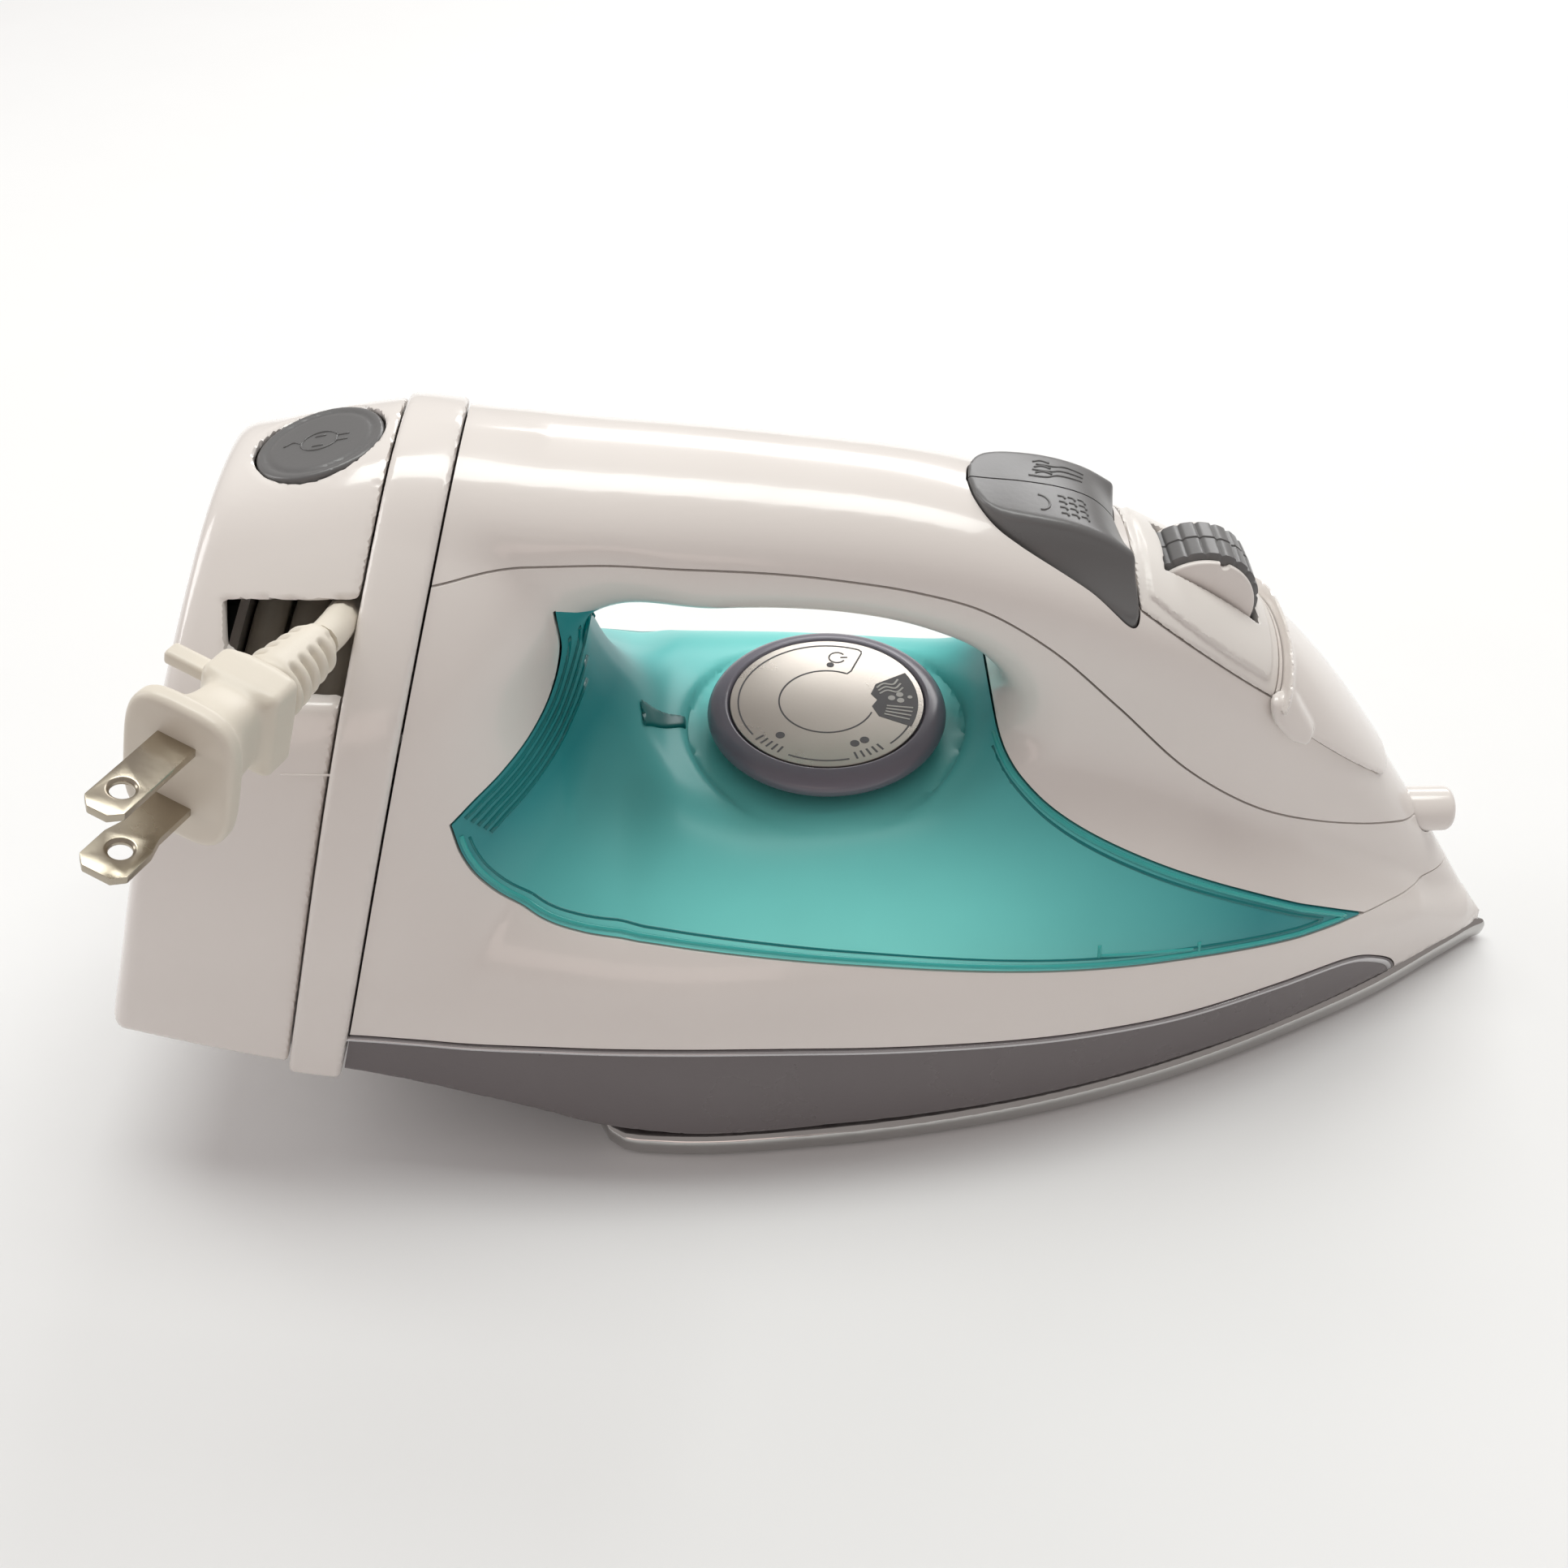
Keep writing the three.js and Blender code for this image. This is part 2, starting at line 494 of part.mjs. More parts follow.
// ---------------------------------------------------------------- dial
add('dial_ring', upright(turned([[3.5, DIAL.z - 0.4], [21.5, DIAL.z - 0.4], [24, DIAL.z + 0.5],
  [24.8, DIAL.z + 2.2],
  [24.2, DIAL.z + 3.9], [22.4, DIAL.z + 5], [20.4, DIAL.z + 5.4], [20.2, DIAL.z + 4.2], [3.5, DIAL.z + 4.2],
  [3.5, DIAL.z - 0.4]], 32)).translate(DIAL.x, 0, 0), darkGrey);
add('dial_label', standing(DIAL.x, 0, [[0, DIAL.z + 4.5], [19.9, DIAL.z + 4.5], [19.9, DIAL.z + 5.2],
  [0, DIAL.z + 5.2]], 32), label);

// ---------------------------------------------------------------- thumb buttons and their pumps
const buttonTop = envelope(-3);
const buttonCap = column(buttonPlan(0), 106, 150)
  .intersect(buttonTop)
  .subtract(envelope(4));
const half = (side) => prism([[0, 60], [80, 60], [80, 160], [0, 160]], side < 0 ? -60 : 0.2,
  side < 0 ? -0.2 : 60);
for (const [name, side] of [['spray', -1], ['steam', 1]]) {
  const y = side * BUTTON_Y;
  const at = (points, segments) => standing(BUTTON_X, y, points, segments);
  add(`${name}_button`, largest(buttonCap.intersect(half(side))), grey);
  add(`${name}_piston`, at([[0, 97.6], [4.1, 97.6], [4.1, 100.4], [1.6, 100.4],
    [1.6, 114.2], [0, 114.2]], 14), white);
  add(`${name}_pump`, at([[0, 89], [5.8, 89], [5.8, 104.4], [4.3, 104.4], [4.3, 91], [0, 91]], 16), white);
  const coil = Array.from({ length: 25 }, (_, i) => {
    const angle = i / 24 * 3 * 2 * Math.PI;
    return [BUTTON_X + 3.2 * Math.cos(angle), y + 3.2 * Math.sin(angle), 105.3 + 7.4 * i / 24];
  });
  add(`${name}_spring`, bar(coil, 0.5, 4, 24), steel);
}
add('spray_hose', bar([[BUTTON_X, -BUTTON_Y, 87.4], [46, -10.5, 84], [56, -12.5, 77], [72, -12.5, 66],
  [90, -11, 57], [101, -6, 48], [109, 0, 43.4]], 1.7, 6, 18), silicone);
add('steam_hose', bar([[BUTTON_X, BUTTON_Y, 87.4], [43, 9.5, 84], [47, 10, 77],
  [49, 10, 69]], 1.7, 6, 10), silicone);

// ---------------------------------------------------------------- panel, steam wheel, filling door, nozzle
const wheelSlot = solid(rod(WHEEL.radius + 0.9, WHEEL.width + 1.2, 28)).translate([WHEEL.x, 0, WHEEL.z]);
const panel = outer.intersect(panelRegion)
  .subtract(envelope(WALL + 0.2))
  .subtract(seamCut([[52.6, 160], [52.6, 112.3], [81.8, 90.6]]))
  .subtract(seamCut([[81.8, 90.6], [84.5, 97.6], [95, 130]]))
  .subtract(buttonHole)
  .add(prism([[62, 99], [72, 99], [72, 116], [62, 116]], -10.6, 10.6).intersect(envelope(1)))
  .subtract(wheelSlot)
  .subtract(solid(rod(2.3, 40, 14)).translate([WHEEL.x, 0, WHEEL.z]));
add('control_panel', largest(panel), white);
add('steam_wheel', turned([[2.2, -7], [9.6, -7], [9.6, 7], [2.2, 7], [2.2, -7]], 24)
  .translate(WHEEL.x, 0, WHEEL.z), white);
add('wheel_grip', turned([[9.9, -5.6], [WHEEL.radius, -5.6], [WHEEL.radius, 5.6], [9.9, 5.6], [9.9, -5.6]], 32)
  .translate(WHEEL.x, 0, WHEEL.z), grey);
add('wheel_axle', rod(2, 20.8, 14).translate(WHEEL.x, 0, WHEEL.z), steel);

const door = envelope(-0.9).intersect(doorRegion)
  .subtract(envelope(1.6))
  .subtract(seamCut([[95, 130], [84.5, 97.6], [81.8, 90.6]]))
  .subtract(seamCut([[81.8, 90.6], ...doorLow.slice(1)]));
add('fill_door', largest(door), white);
add('fill_neck', standing(FILL.x, 0, [[6.2, 47.6], [FILL.radius, 47.6], [FILL.radius, 62], [9.6, 70],
  [8.4, 70], [6.2, 62], [6.2, 47.6]], 16), white);
const nozzle = turned([[0, -12], [3, -12], [3, -9], [NOZZLE.radius, -9], [NOZZLE.radius, 10.4], [4.4, 11.4],
  [2.2, 11.4], [2.2, 9], [0.8, 9], [0.8, 4], [0, 4]], 16).rotateZ(-Math.PI / 2)
  .translate(NOZZLE.x, 0, NOZZLE.z);
add('spray_nozzle', nozzle, white);

// ---------------------------------------------------------------- cord reel
// Points are [radius, distance along the axle towards the nose].
const onReel = (points, segments) => alongReel(turned(points, segments)).translate(REEL.x, 0, REEL.z);
const tube = (inner, outerRadius, from, to, segments) => onReel(
  [[inner, from], [outerRadius, from], [outerRadius, to], [inner, to], [inner, from]], segments);
add('reel_axle', onReel([[0, -17], [REEL.axle, -17], [REEL.axle, 21.4], [0, 21.4]], 20), steel);
add('reel_drum', onReel([[REEL.axle + 0.15, -12], [REEL.radius, -12], [REEL.radius, -10.4], [REEL.hub, -10.4],
  [REEL.hub, 10.4], [REEL.radius, 10.4], [REEL.radius, 12], [REEL.axle + 0.15, 12],
  [REEL.axle + 0.15, -12]], 28),
  white);
add('cord_winding', tube(REEL.hub + 0.3, WINDING.radius, -10, 10, 28), cream);
add('slip_ring', tube(6, 24, 12.3, 13.6, 24), brass);
add('spring_case', onReel([[REEL.axle + 0.3, -17.4], [30, -17.4], [30, -12.4], [28.6, -12.4], [28.6, -16.2],
  [REEL.axle + 0.3, -16.2], [REEL.axle + 0.3, -17.4]], 28), black);
const turnsOfSpring = Array.from({ length: 37 }, (_, i) => {
  const angle = i / 36 * 3 * 2 * Math.PI;
  const radius = 8 + 18 * i / 36;
  return [radius * Math.cos(angle), radius * Math.sin(angle)];
});
const spiral = new THREE.ExtrudeGeometry(
  new THREE.Shape(strip(turnsOfSpring, 0.6).map(([x, y]) => new THREE.Vector2(x, y))),
  { depth: 2.8, bevelEnabled: false, steps: 1 });
add('reel_spring', spiral.rotateX(-Math.PI / 2).translate(0, -15.8, 0)
  .rotateZ(-Math.PI / 2).rotateY(REEL_TILT).translate(REEL.x, 0, REEL.z), steel);
add('brush_block', alongReel(new THREE.BoxGeometry(16, 6.4, 12).translate(18, 17.4, 0))
  .translate(REEL.x, 0, REEL.z), black);

const cordButton = column(circle(CORD_BUTTON.x, 0, CORD_BUTTON.radius, 28), 120, 170)
  .intersect(envelope(-0.4))
  .subtract(envelope(3.6))
  .add(solid(upright(rod(2.5, 8, 12))).translate([-90, BRAKE.y, 134.4]));
add('cord_button', cordButton, grey);
const brake = prism([[-112, 116.6], [-106, 116.2], [-98, 118.4], [-87, 127.6], [-87, 129.6], [-98, 123.6],
  [-112, 119.6]], BRAKE.y - 3, BRAKE.y + 3)
  .subtract(solid(rod(1.75, 20, 12)).translate([BRAKE.x, BRAKE.y, BRAKE.z]));
add('brake_arm', brake, black);
add('brake_pin', rod(1.6, 12, 12).translate(BRAKE.x, BRAKE.y, BRAKE.z), steel);

// ---------------------------------------------------------------- plug and lead
// The plug's own frame: +Y along it from the lead to the blades, +Z across the two blades.
function onPlug(made) {
  const turn = THREE.MathUtils.degToRad;
  const heading = new THREE.Matrix4().makeRotationZ(turn(90 + PLUG.heading));
  const rise = new THREE.Matrix4().makeRotationX(turn(PLUG.rise));
  const roll = new THREE.Matrix4().makeRotationY(turn(PLUG.roll));
  const geometry = made.isBufferGeometry ? made : geometryOf(made);
  return geometry.applyMatrix4(roll).applyMatrix4(rise).applyMatrix4(heading).translate(...PLUG.at);
}
const block = (x, y0, y1, z, cx = 0, cz = 0) => solid(new THREE.BoxGeometry(x, y1 - y0, z))
  .translate([cx, (y0 + y1) / 2, cz]);
const relief = turned([[0, 0], [3.4, 0], [4.4, 1], [6, 20], [0, 20]], 16);
add('plug_relief', onPlug(relief), cream);
const bodyRings = [[20.3, 5, 6.6], [24, 6.6, 8.6], [31, 7.6, 10.6], [35, 8.2, 11.8],
  [35.3, 9.3, 13.4], [39, 9.3, 13.4]]
  .map(([y, halfX, halfZ]) => Array.from({ length: 20 }, (_, i) => {
    const angle = i / 20 * 2 * Math.PI;
    const c = Math.cos(angle);
    const d = Math.sin(angle);
    return new THREE.Vector3(halfX * Math.sign(c) * Math.abs(c) ** 0.6, y,
      halfZ * Math.sign(d) * Math.abs(d) ** 0.6);
  }));
add('plug_body', onPlug(lofted(bodyRings)), cream);
for (const [name, side, wide] of [['plug_blade_live', 1, 6.35], ['plug_blade_neutral', -1, 7.9]]) {
  const blade = block(wide, 39.3, 56.6, 1.5, 0, side * 6.35)
    .subtract(solid(rod(1.8, 6, 12)).rotate([90, 0, 0]).translate([0, 51, side * 6.35]));
  add(name, onPlug(blade), nickel);
}
add('cord_lead', bar([[-97.6, 10, 111.7], [-96.8, 0, 114.4], [-94.5, -14, 118.6], [-90.5, -26, 123],
  [-88, -34, 126], [-89.45, -39.8, 126.75]], CORD_RADIUS, 8, 10), cream);

export default iron;
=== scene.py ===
import json
import math

import bmesh
import bpy
import numpy as np
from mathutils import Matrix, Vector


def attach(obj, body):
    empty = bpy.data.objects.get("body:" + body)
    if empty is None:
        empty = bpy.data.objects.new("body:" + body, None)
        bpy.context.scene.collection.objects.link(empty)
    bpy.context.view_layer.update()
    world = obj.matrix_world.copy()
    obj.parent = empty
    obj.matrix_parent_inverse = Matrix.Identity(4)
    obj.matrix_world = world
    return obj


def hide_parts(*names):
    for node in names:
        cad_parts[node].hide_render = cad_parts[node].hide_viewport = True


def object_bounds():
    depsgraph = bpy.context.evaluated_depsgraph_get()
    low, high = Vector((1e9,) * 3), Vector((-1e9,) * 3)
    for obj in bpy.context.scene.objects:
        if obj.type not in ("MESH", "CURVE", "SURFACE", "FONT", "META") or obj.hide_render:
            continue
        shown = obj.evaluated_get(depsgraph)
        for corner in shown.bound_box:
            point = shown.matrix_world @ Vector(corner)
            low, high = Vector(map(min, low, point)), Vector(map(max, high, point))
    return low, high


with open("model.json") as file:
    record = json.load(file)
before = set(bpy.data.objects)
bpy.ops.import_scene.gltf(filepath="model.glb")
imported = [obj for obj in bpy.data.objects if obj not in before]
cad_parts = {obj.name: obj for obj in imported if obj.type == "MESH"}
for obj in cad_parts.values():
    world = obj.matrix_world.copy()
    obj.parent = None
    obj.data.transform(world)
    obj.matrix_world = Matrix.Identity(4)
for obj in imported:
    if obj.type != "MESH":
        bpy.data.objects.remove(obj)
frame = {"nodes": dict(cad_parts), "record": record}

import openvdb
from mathutils import Matrix, Vector

CAD_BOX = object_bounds()
MM = 0.001


def new_object(name, data):
    made = bpy.data.objects.new(name, data)
    bpy.context.scene.collection.objects.link(made)
    return made


# ---- camera
CAMERA_AT = (-15.5, -252.4, 291.6)
AIM = (-12.5, 0.0, 54.4)
ROLL = math.radians(-0.73)
LENS = 36.89


def add_camera():
    data = bpy.data.cameras.new("camera")
    data.sensor_width = 36
    data.lens = LENS
    data.clip_start = 0.01
    camera = new_object("camera", data)
    camera.location = Vector(CAMERA_AT) * MM
    look = (Vector(AIM) - Vector(CAMERA_AT)).to_track_quat("-Z", "Y").to_matrix().to_4x4()
    camera.matrix_world = Matrix.Translation(camera.location) @ look @ Matrix.Rotation(ROLL, 4, "Z")
    bpy.context.scene.camera = camera


add_camera()


# ---- materials
def add_node(tree, kind, values=(), sources=(), **settings):
    """A shader node with its values, the sockets that feed it and its settings."""
    made = tree.nodes.new("ShaderNode" + kind)
    for key, value in settings.items():
        setattr(made, key, value)
    for key, value in dict(values).items():
        made.inputs[key].default_value = value
    for key, source in dict(sources).items():
        tree.links.new(source, made.inputs[key])
    return made


def material(name, color, roughness=0.4, metallic=0.0, bump=0.02, scale=900.0, mottle=0.03, wear=0.06,
             coat=0.0, **sockets):
    """Moulded plastic or metal: a little colour drift, a fine grain in the surface and a patchy gloss."""
    made = bpy.data.materials.new(name)
    made.use_nodes = True
    tree = made.node_tree
    shader = tree.nodes["Principled BSDF"]
    place = add_node(tree, "TexCoord").outputs["Object"]

    def noise(size, detail):
        return add_node(tree, "TexNoise", {"Scale": size, "Detail": detail}, {"Vector": place}).outputs["Fac"]

    drift = add_node(tree, "ValToRGB", sources={"Fac": noise(22.0, 3.0)})
    for stop, position, share in zip(drift.color_ramp.elements, (0.3, 0.7), (1 - mottle, 1 + mottle)):
        stop.position = position
        stop.color = (*[min(max(c * share, 0), 1) for c in color], 1)
    tree.links.new(drift.outputs["Color"], shader.inputs["Base Color"])
    gloss = add_node(tree, "MapRange", {"From Min": 0.3, "From Max": 0.75,
                                        "To Min": max(roughness - wear / 2, 0.02),
                                        "To Max": roughness + wear}, {"Value": noise(60.0, 5.0)})
    tree.links.new(gloss.outputs["Result"], shader.inputs["Roughness"])
    if bump:
        grain = add_node(tree, "Bump", {"Strength": bump, "Distance": 0.0004}, {"Height": noise(scale, 2.0)})
        tree.links.new(grain.outputs["Normal"], shader.inputs["Normal"])
    sockets.update(Metallic=metallic, Coat_Weight=coat)
    for socket, value in sockets.items():
        shader.inputs[socket.replace("_", " ")].default_value = value
    return made


def painted_shade_away_from_centre(made, color, centre, weight, near, far):
    """Painted shade: the colour deepens away from a centre in the side view, where less light gathers on the
    tank.
    """
    tree = made.node_tree
    base = tree.nodes["Principled BSDF"].inputs["Base Color"]
    place = add_node(tree, "TexCoord").outputs["Object"]
    flatten = add_node(tree, "VectorMath", {1: weight}, {0: place}, operation="MULTIPLY")
    middle = [c * w * MM for c, w in zip(centre, weight)]
    away = add_node(tree, "VectorMath", {1: middle}, {0: flatten.outputs["Vector"]}, operation="DISTANCE")
    share = add_node(tree, "MapRange", {"From Min": near * MM, "From Max": far * MM},
                     {"Value": away.outputs["Value"]})
    mix = add_node(tree, "MixRGB", {"Color2": (*color, 1)},
                   {"Fac": share.outputs["Result"], "Color1": base.links[0].from_socket})
    tree.links.new(mix.outputs["Color"], base)
    return made


WHITE = material("white_gloss", (0.79, 0.745, 0.712), 0.17, bump=0.012, coat=0.3, mottle=0.012)
PANEL_WHITE = material("panel_white", (0.78, 0.745, 0.71), 0.3, bump=0.03, mottle=0.015)
GREY = material("grey_satin", (0.14, 0.139, 0.14), 0.3, bump=0.05)
DARK_GREY = material("skirt_grey", (0.135, 0.118, 0.122), 0.28, bump=0.05, mottle=0.04)
RING_GREY = material("ring_grey", (0.165, 0.152, 0.185), 0.22)
TEAL = material("tank_teal", (0.27, 0.93, 0.87), 0.34, scale=420.0, mottle=0.07, Transmission_Weight=0.12,
                IOR=1.45, Specular_IOR_Level=0.4)
# painted shade: the tank's colour darkens away from the middle of its side
TEAL = painted_shade_away_from_centre(TEAL, (0.035, 0.32, 0.34), (-8, 0, 46), (1, 0, 2.1), 24, 94)
TEAL_EDGE = material("tank_weld", (0.0, 0.24, 0.245), 0.16, mottle=0.08, Transmission_Weight=0.3, IOR=1.45)
TEAL_DARK = material("tank_index", (0.0, 0.14, 0.14), 0.3, mottle=0.05)
TEAL_RIM = material("tank_rim", (0.06, 0.52, 0.49), 0.2, mottle=0.05, Transmission_Weight=0.2, IOR=1.45)
CHROME = material("sole_chrome", (0.52, 0.51, 0.50), 0.12, metallic=1.0, scale=300.0)
ALUMINIUM = material("cast_aluminium", (0.42, 0.42, 0.43), 0.5, metallic=1.0, bump=0.2, scale=500.0)
STEEL = material("steel", (0.50, 0.49, 0.47), 0.3, metallic=1.0, bump=0.04)
NICKEL = material("nickel", (0.46, 0.41, 0.33), 0.26, metallic=1.0, bump=0.04, mottle=0.06, wear=0.12)
BRASS = material("brass", (0.60, 0.44, 0.18), 0.3, metallic=1.0, bump=0.04, mottle=0.05)
CREAM = material("cream_cord", (0.72, 0.665, 0.575), 0.4, bump=0.06)
SILICONE = material("silicone", (0.66, 0.63, 0.58), 0.6, bump=0.05)
BLACK = material("black_plastic", (0.03, 0.03, 0.032), 0.5, bump=0.06)
LABEL = material("dial_label", (0.50, 0.465, 0.42), 0.28, metallic=0.8, scale=1500.0)
# painted highlight: a bright metal colour for the lip along the top of the dark skirt
PAINTED_HIGHLIGHT_BEAD = material("bead_painted_highlight", (0.50, 0.49, 0.50), 0.16, metallic=0.75)
INK = material("dial_ink", (0.06, 0.056, 0.06), 0.45)
PALE_INK = material("pale_ink", (0.55, 0.53, 0.50), 0.5)

SLOTS = {
    "white_gloss": (WHITE, PANEL_WHITE), "cream": (CREAM,), "grey_satin": (GREY,),
    "dark_grey": (DARK_GREY, RING_GREY, PAINTED_HIGHLIGHT_BEAD), "teal_clear": (TEAL, TEAL_EDGE, TEAL_RIM, TEAL_DARK),
    "polished_steel": (CHROME,), "cast_aluminium": (ALUMINIUM,), "steel": (STEEL,), "nickel": (NICKEL,),
    "brass": (BRASS,), "silicone": (SILICONE,), "black_plastic": (BLACK,), "label_metal": (LABEL,),
}
for part in frame["record"]["subparts"]:
    if part["node"] in frame["nodes"]:
        materials = frame["nodes"][part["node"]].data.materials
        materials.clear()
        materials.append(SLOTS[part["material_slot"]][0])


# ---- pieces from meshes
def finish_piece(obj, body, made_of, replaces=()):
    """Dresses a new piece: its material, its body and the CAD nodes that it stands for."""
    obj.data.materials.clear()
    obj.data.materials.append(made_of)
    obj.data.shade_smooth()
    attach(obj, body)
    if replaces:
        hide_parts(*replaces)
    return obj


def moulded(obj, body, made_of, cad=None, degrees=38):
    """A finished piece whose edges sharper than an angle stay crisp."""
    finish_piece(obj, body, made_of, (cad,) if cad else ())
    obj.data.set_sharp_from_angle(angle=math.radians(degrees))
    return obj


def mesh_object(name, points, faces):
    """A new mesh object, from points in millimetres."""
    data = bpy.data.meshes.new(name)
    data.from_pydata([Vector(p) * MM for p in points], [], [list(f) for f in faces])
    data.validate()
    return new_object(name, data)


def apply_modifiers(obj):
    """Bakes the modifiers into the mesh."""
    view = bpy.context.evaluated_depsgraph_get()
    baked = bpy.data.meshes.new_from_object(obj.evaluated_get(view))
    obj.modifiers.clear()
    old = obj.data
    obj.data = baked
    bpy.data.meshes.remove(old)
    return obj


def cut(obj, tool, operation="DIFFERENCE"):
    """Boolean with another closed mesh, which it uses up."""
    step = obj.modifiers.new("cut", "BOOLEAN")
    step.operation = operation
    step.solver = "MANIFOLD"
    step.object = tool
    bpy.context.view_layer.update()
    apply_modifiers(obj)
    drop(tool)
    return obj


def drop(obj):
    data = obj.data
    bpy.data.objects.remove(obj)
    bpy.data.meshes.remove(data)


def copy_of(obj, name):
    return new_object(name, obj.data.copy())


def face_out(obj, triangles=False):
    """Turns the faces of a closed mesh outwards."""
    work = bmesh.new()
    work.from_mesh(obj.data)
    if triangles:
        bmesh.ops.triangulate(work, faces=work.faces)
    bmesh.ops.recalc_face_normals(work, faces=work.faces)
    work.to_mesh(obj.data)
    work.free()
    return obj


def keep_largest(obj, share=0.02):
    """Removes the crumbs: loose parts with fewer than a share of the faces."""
    work = bmesh.new()
    work.from_mesh(obj.data)
    work.verts.ensure_lookup_table()
    seen, islands = set(), []
    for start in work.verts:
        if start.index in seen:
            continue
        seen.add(start.index)
        island, todo = [start], [start]
        while todo:
            for edge in todo.pop().link_edges:
                for vert in edge.verts:
                    if vert.index not in seen:
                        seen.add(vert.index)
                        island.append(vert)
                        todo.append(vert)
        islands.append(island)
    most = max(len(island) for island in islands)
    small = [v for island in islands if len(island) < most * share for v in island]
    bmesh.ops.delete(work, geom=small, context="VERTS")
    work.to_mesh(obj.data)
    work.free()
    return obj


def prism(outline, low=-90.0, high=90.0, axis="Y"):
    """A closed prism of an outline: seen from the side with axis Y, from above with axis Z."""
    count = len(outline)
    lift = (lambda a, b, t: (a, t, b)) if axis == "Y" else (lambda a, b, t: (a, b, t))
    points = [lift(a, b, low) for a, b in outline] + [lift(a, b, high) for a, b in outline]
    faces = [list(range(count)), list(range(2 * count - 1, count - 1, -1))]
    faces += [[i, i + count, (i + 1) % count + count, (i + 1) % count] for i in range(count)]
    return face_out(mesh_object("tool", points, faces), triangles=True)


def smooth_line(points, step=1.0, closed=False):
    """A centripetal Catmull-Rom line through the points, in steps of about a millimetre."""
    points = [np.array(p, float) for p in points]
    if closed:
        points = [points[-1], *points, points[0], points[1]]
    else:
        points = [2 * points[0] - points[1], *points, 2 * points[-1] - points[-2]]
    line = []
    for a, b, c, d in zip(points, points[1:], points[2:], points[3:]):
        t1 = np.linalg.norm(b - a) ** 0.5
        t2 = t1 + np.linalg.norm(c - b) ** 0.5
        t3 = t2 + np.linalg.norm(d - c) ** 0.5
        count = max(int(np.linalg.norm(c - b) / step), 1)
        for t in t1 + (t2 - t1) * np.arange(count) / count:
            ab = (t1 - t) / t1 * a + t / t1 * b
            bc = (t2 - t) / (t2 - t1) * b + (t - t1) / (t2 - t1) * c
            cd = (t3 - t) / (t3 - t2) * c + (t - t2) / (t3 - t2) * d
            ac = (t2 - t) / t2 * ab + t / t2 * bc
            bd = (t3 - t) / (t3 - t1) * bc + (t - t1) / (t3 - t1) * cd
            line.append((t2 - t) / (t2 - t1) * ac + (t - t1) / (t2 - t1) * bd)
    if not closed:
        line.append(points[-2])
    return [tuple(float(v) for v in p) for p in line]


def offset_line(line, by):
    """The line moved sideways, to the left of its run."""
    line = np.array(line)
    along = np.gradient(line, axis=0)
    along /= np.linalg.norm(along, axis=1)[:, None]
    side = np.c_[-along[:, 1], along[:, 0]]
    return [tuple(float(v) for v in p) for p in line + side * by]


def strip(line, width):
    return offset_line(line, width / 2) + offset_line(line, -width / 2)[::-1]


# ---- the cord, wound on its reel
CORD_START, TURN_STEPS, CROSSING, LEAD_STEPS = math.radians(-24), 20, 0.16, 12
HEEL_LEAN = 0.3
REEL = np.array([-112.6, 0.0, 72.0])
AXLE = np.array([1.0, 0.0, -HEEL_LEAN]) / math.hypot(1, HEEL_LEAN)
REEL_UP = np.array([HEEL_LEAN, 0.0, 1.0]) / math.hypot(1, HEEL_LEAN)
CORD = 6.0
LAYERS = (18.4, 24.6, 30.8, 37.0)
TURN_AT = (6.7, 0.0, -6.7)
PLUG_AT = np.array([-89.6, -40.2, 126.8])
PLUG_HEADING = math.radians(69)
PLUG_RISE = math.radians(5.9)
PLUG_ROLL = math.radians(-16.4)


def on_reel(radius, angle, along):
    right = np.array([0.0, -1.0, 0.0])
    return REEL + AXLE * along + REEL_UP * radius * math.cos(angle) + right * radius * math.sin(angle)


def ramp(value, start, end):
    """From 0 to 1 with flat ends."""
    t = np.clip((value - start) / (end - start), 0, 1)
    return t * t * (3 - 2 * t)


def cord_route():
    """Layer over layer on the drum, then straight to the plug."""
    stops = []
    for number, radius in enumerate(LAYERS):
        order = TURN_AT if number % 2 == 0 else TURN_AT[::-1]
        stops += [(radius, along) for along in order]
    route = []
    for turn, (radius, along) in enumerate(stops):
        after = stops[min(turn + 1, len(stops) - 1)]
        for step in range(TURN_STEPS):
            part = step / TURN_STEPS
            move = ramp(part, 1 - CROSSING, 1)
            angle = CORD_START - 2 * math.pi * (len(stops) - turn - part)
            layer = radius + (after[0] - radius) * move
            route.append(on_reel(layer, angle, along + (after[1] - along) * move))
    start = on_reel(LAYERS[-1], CORD_START, TURN_AT[0])
    out = plug_axes()[1]
    end = PLUG_AT - out * 0.3
    reach = np.linalg.norm(end - start)
    off_reel = np.array([0.0, -math.cos(CORD_START), 0.0]) - REEL_UP * math.sin(CORD_START)
    for step in range(LEAD_STEPS + 1):
        t = step / LEAD_STEPS
        place = start * (1 + 2 * t) * (1 - t) ** 2 + end * (3 - 2 * t) * t * t
        bow = off_reel * t * (1 - t) ** 2 - out * (1 - t) * t * t * 0.55
        route.append(place + bow * reach)
    return route


def plug_axes():
    """Across the plug, along it towards the blades, and across the pair of blades."""
    turn = (Matrix.Rotation(math.radians(90) + PLUG_HEADING, 3, "Z") @ Matrix.Rotation(PLUG_RISE, 3, "X")
            @ Matrix.Rotation(PLUG_ROLL, 3, "Y"))
    return [np.array(turn.col[i]) for i in range(3)]


CORD_ROUTE = cord_route()


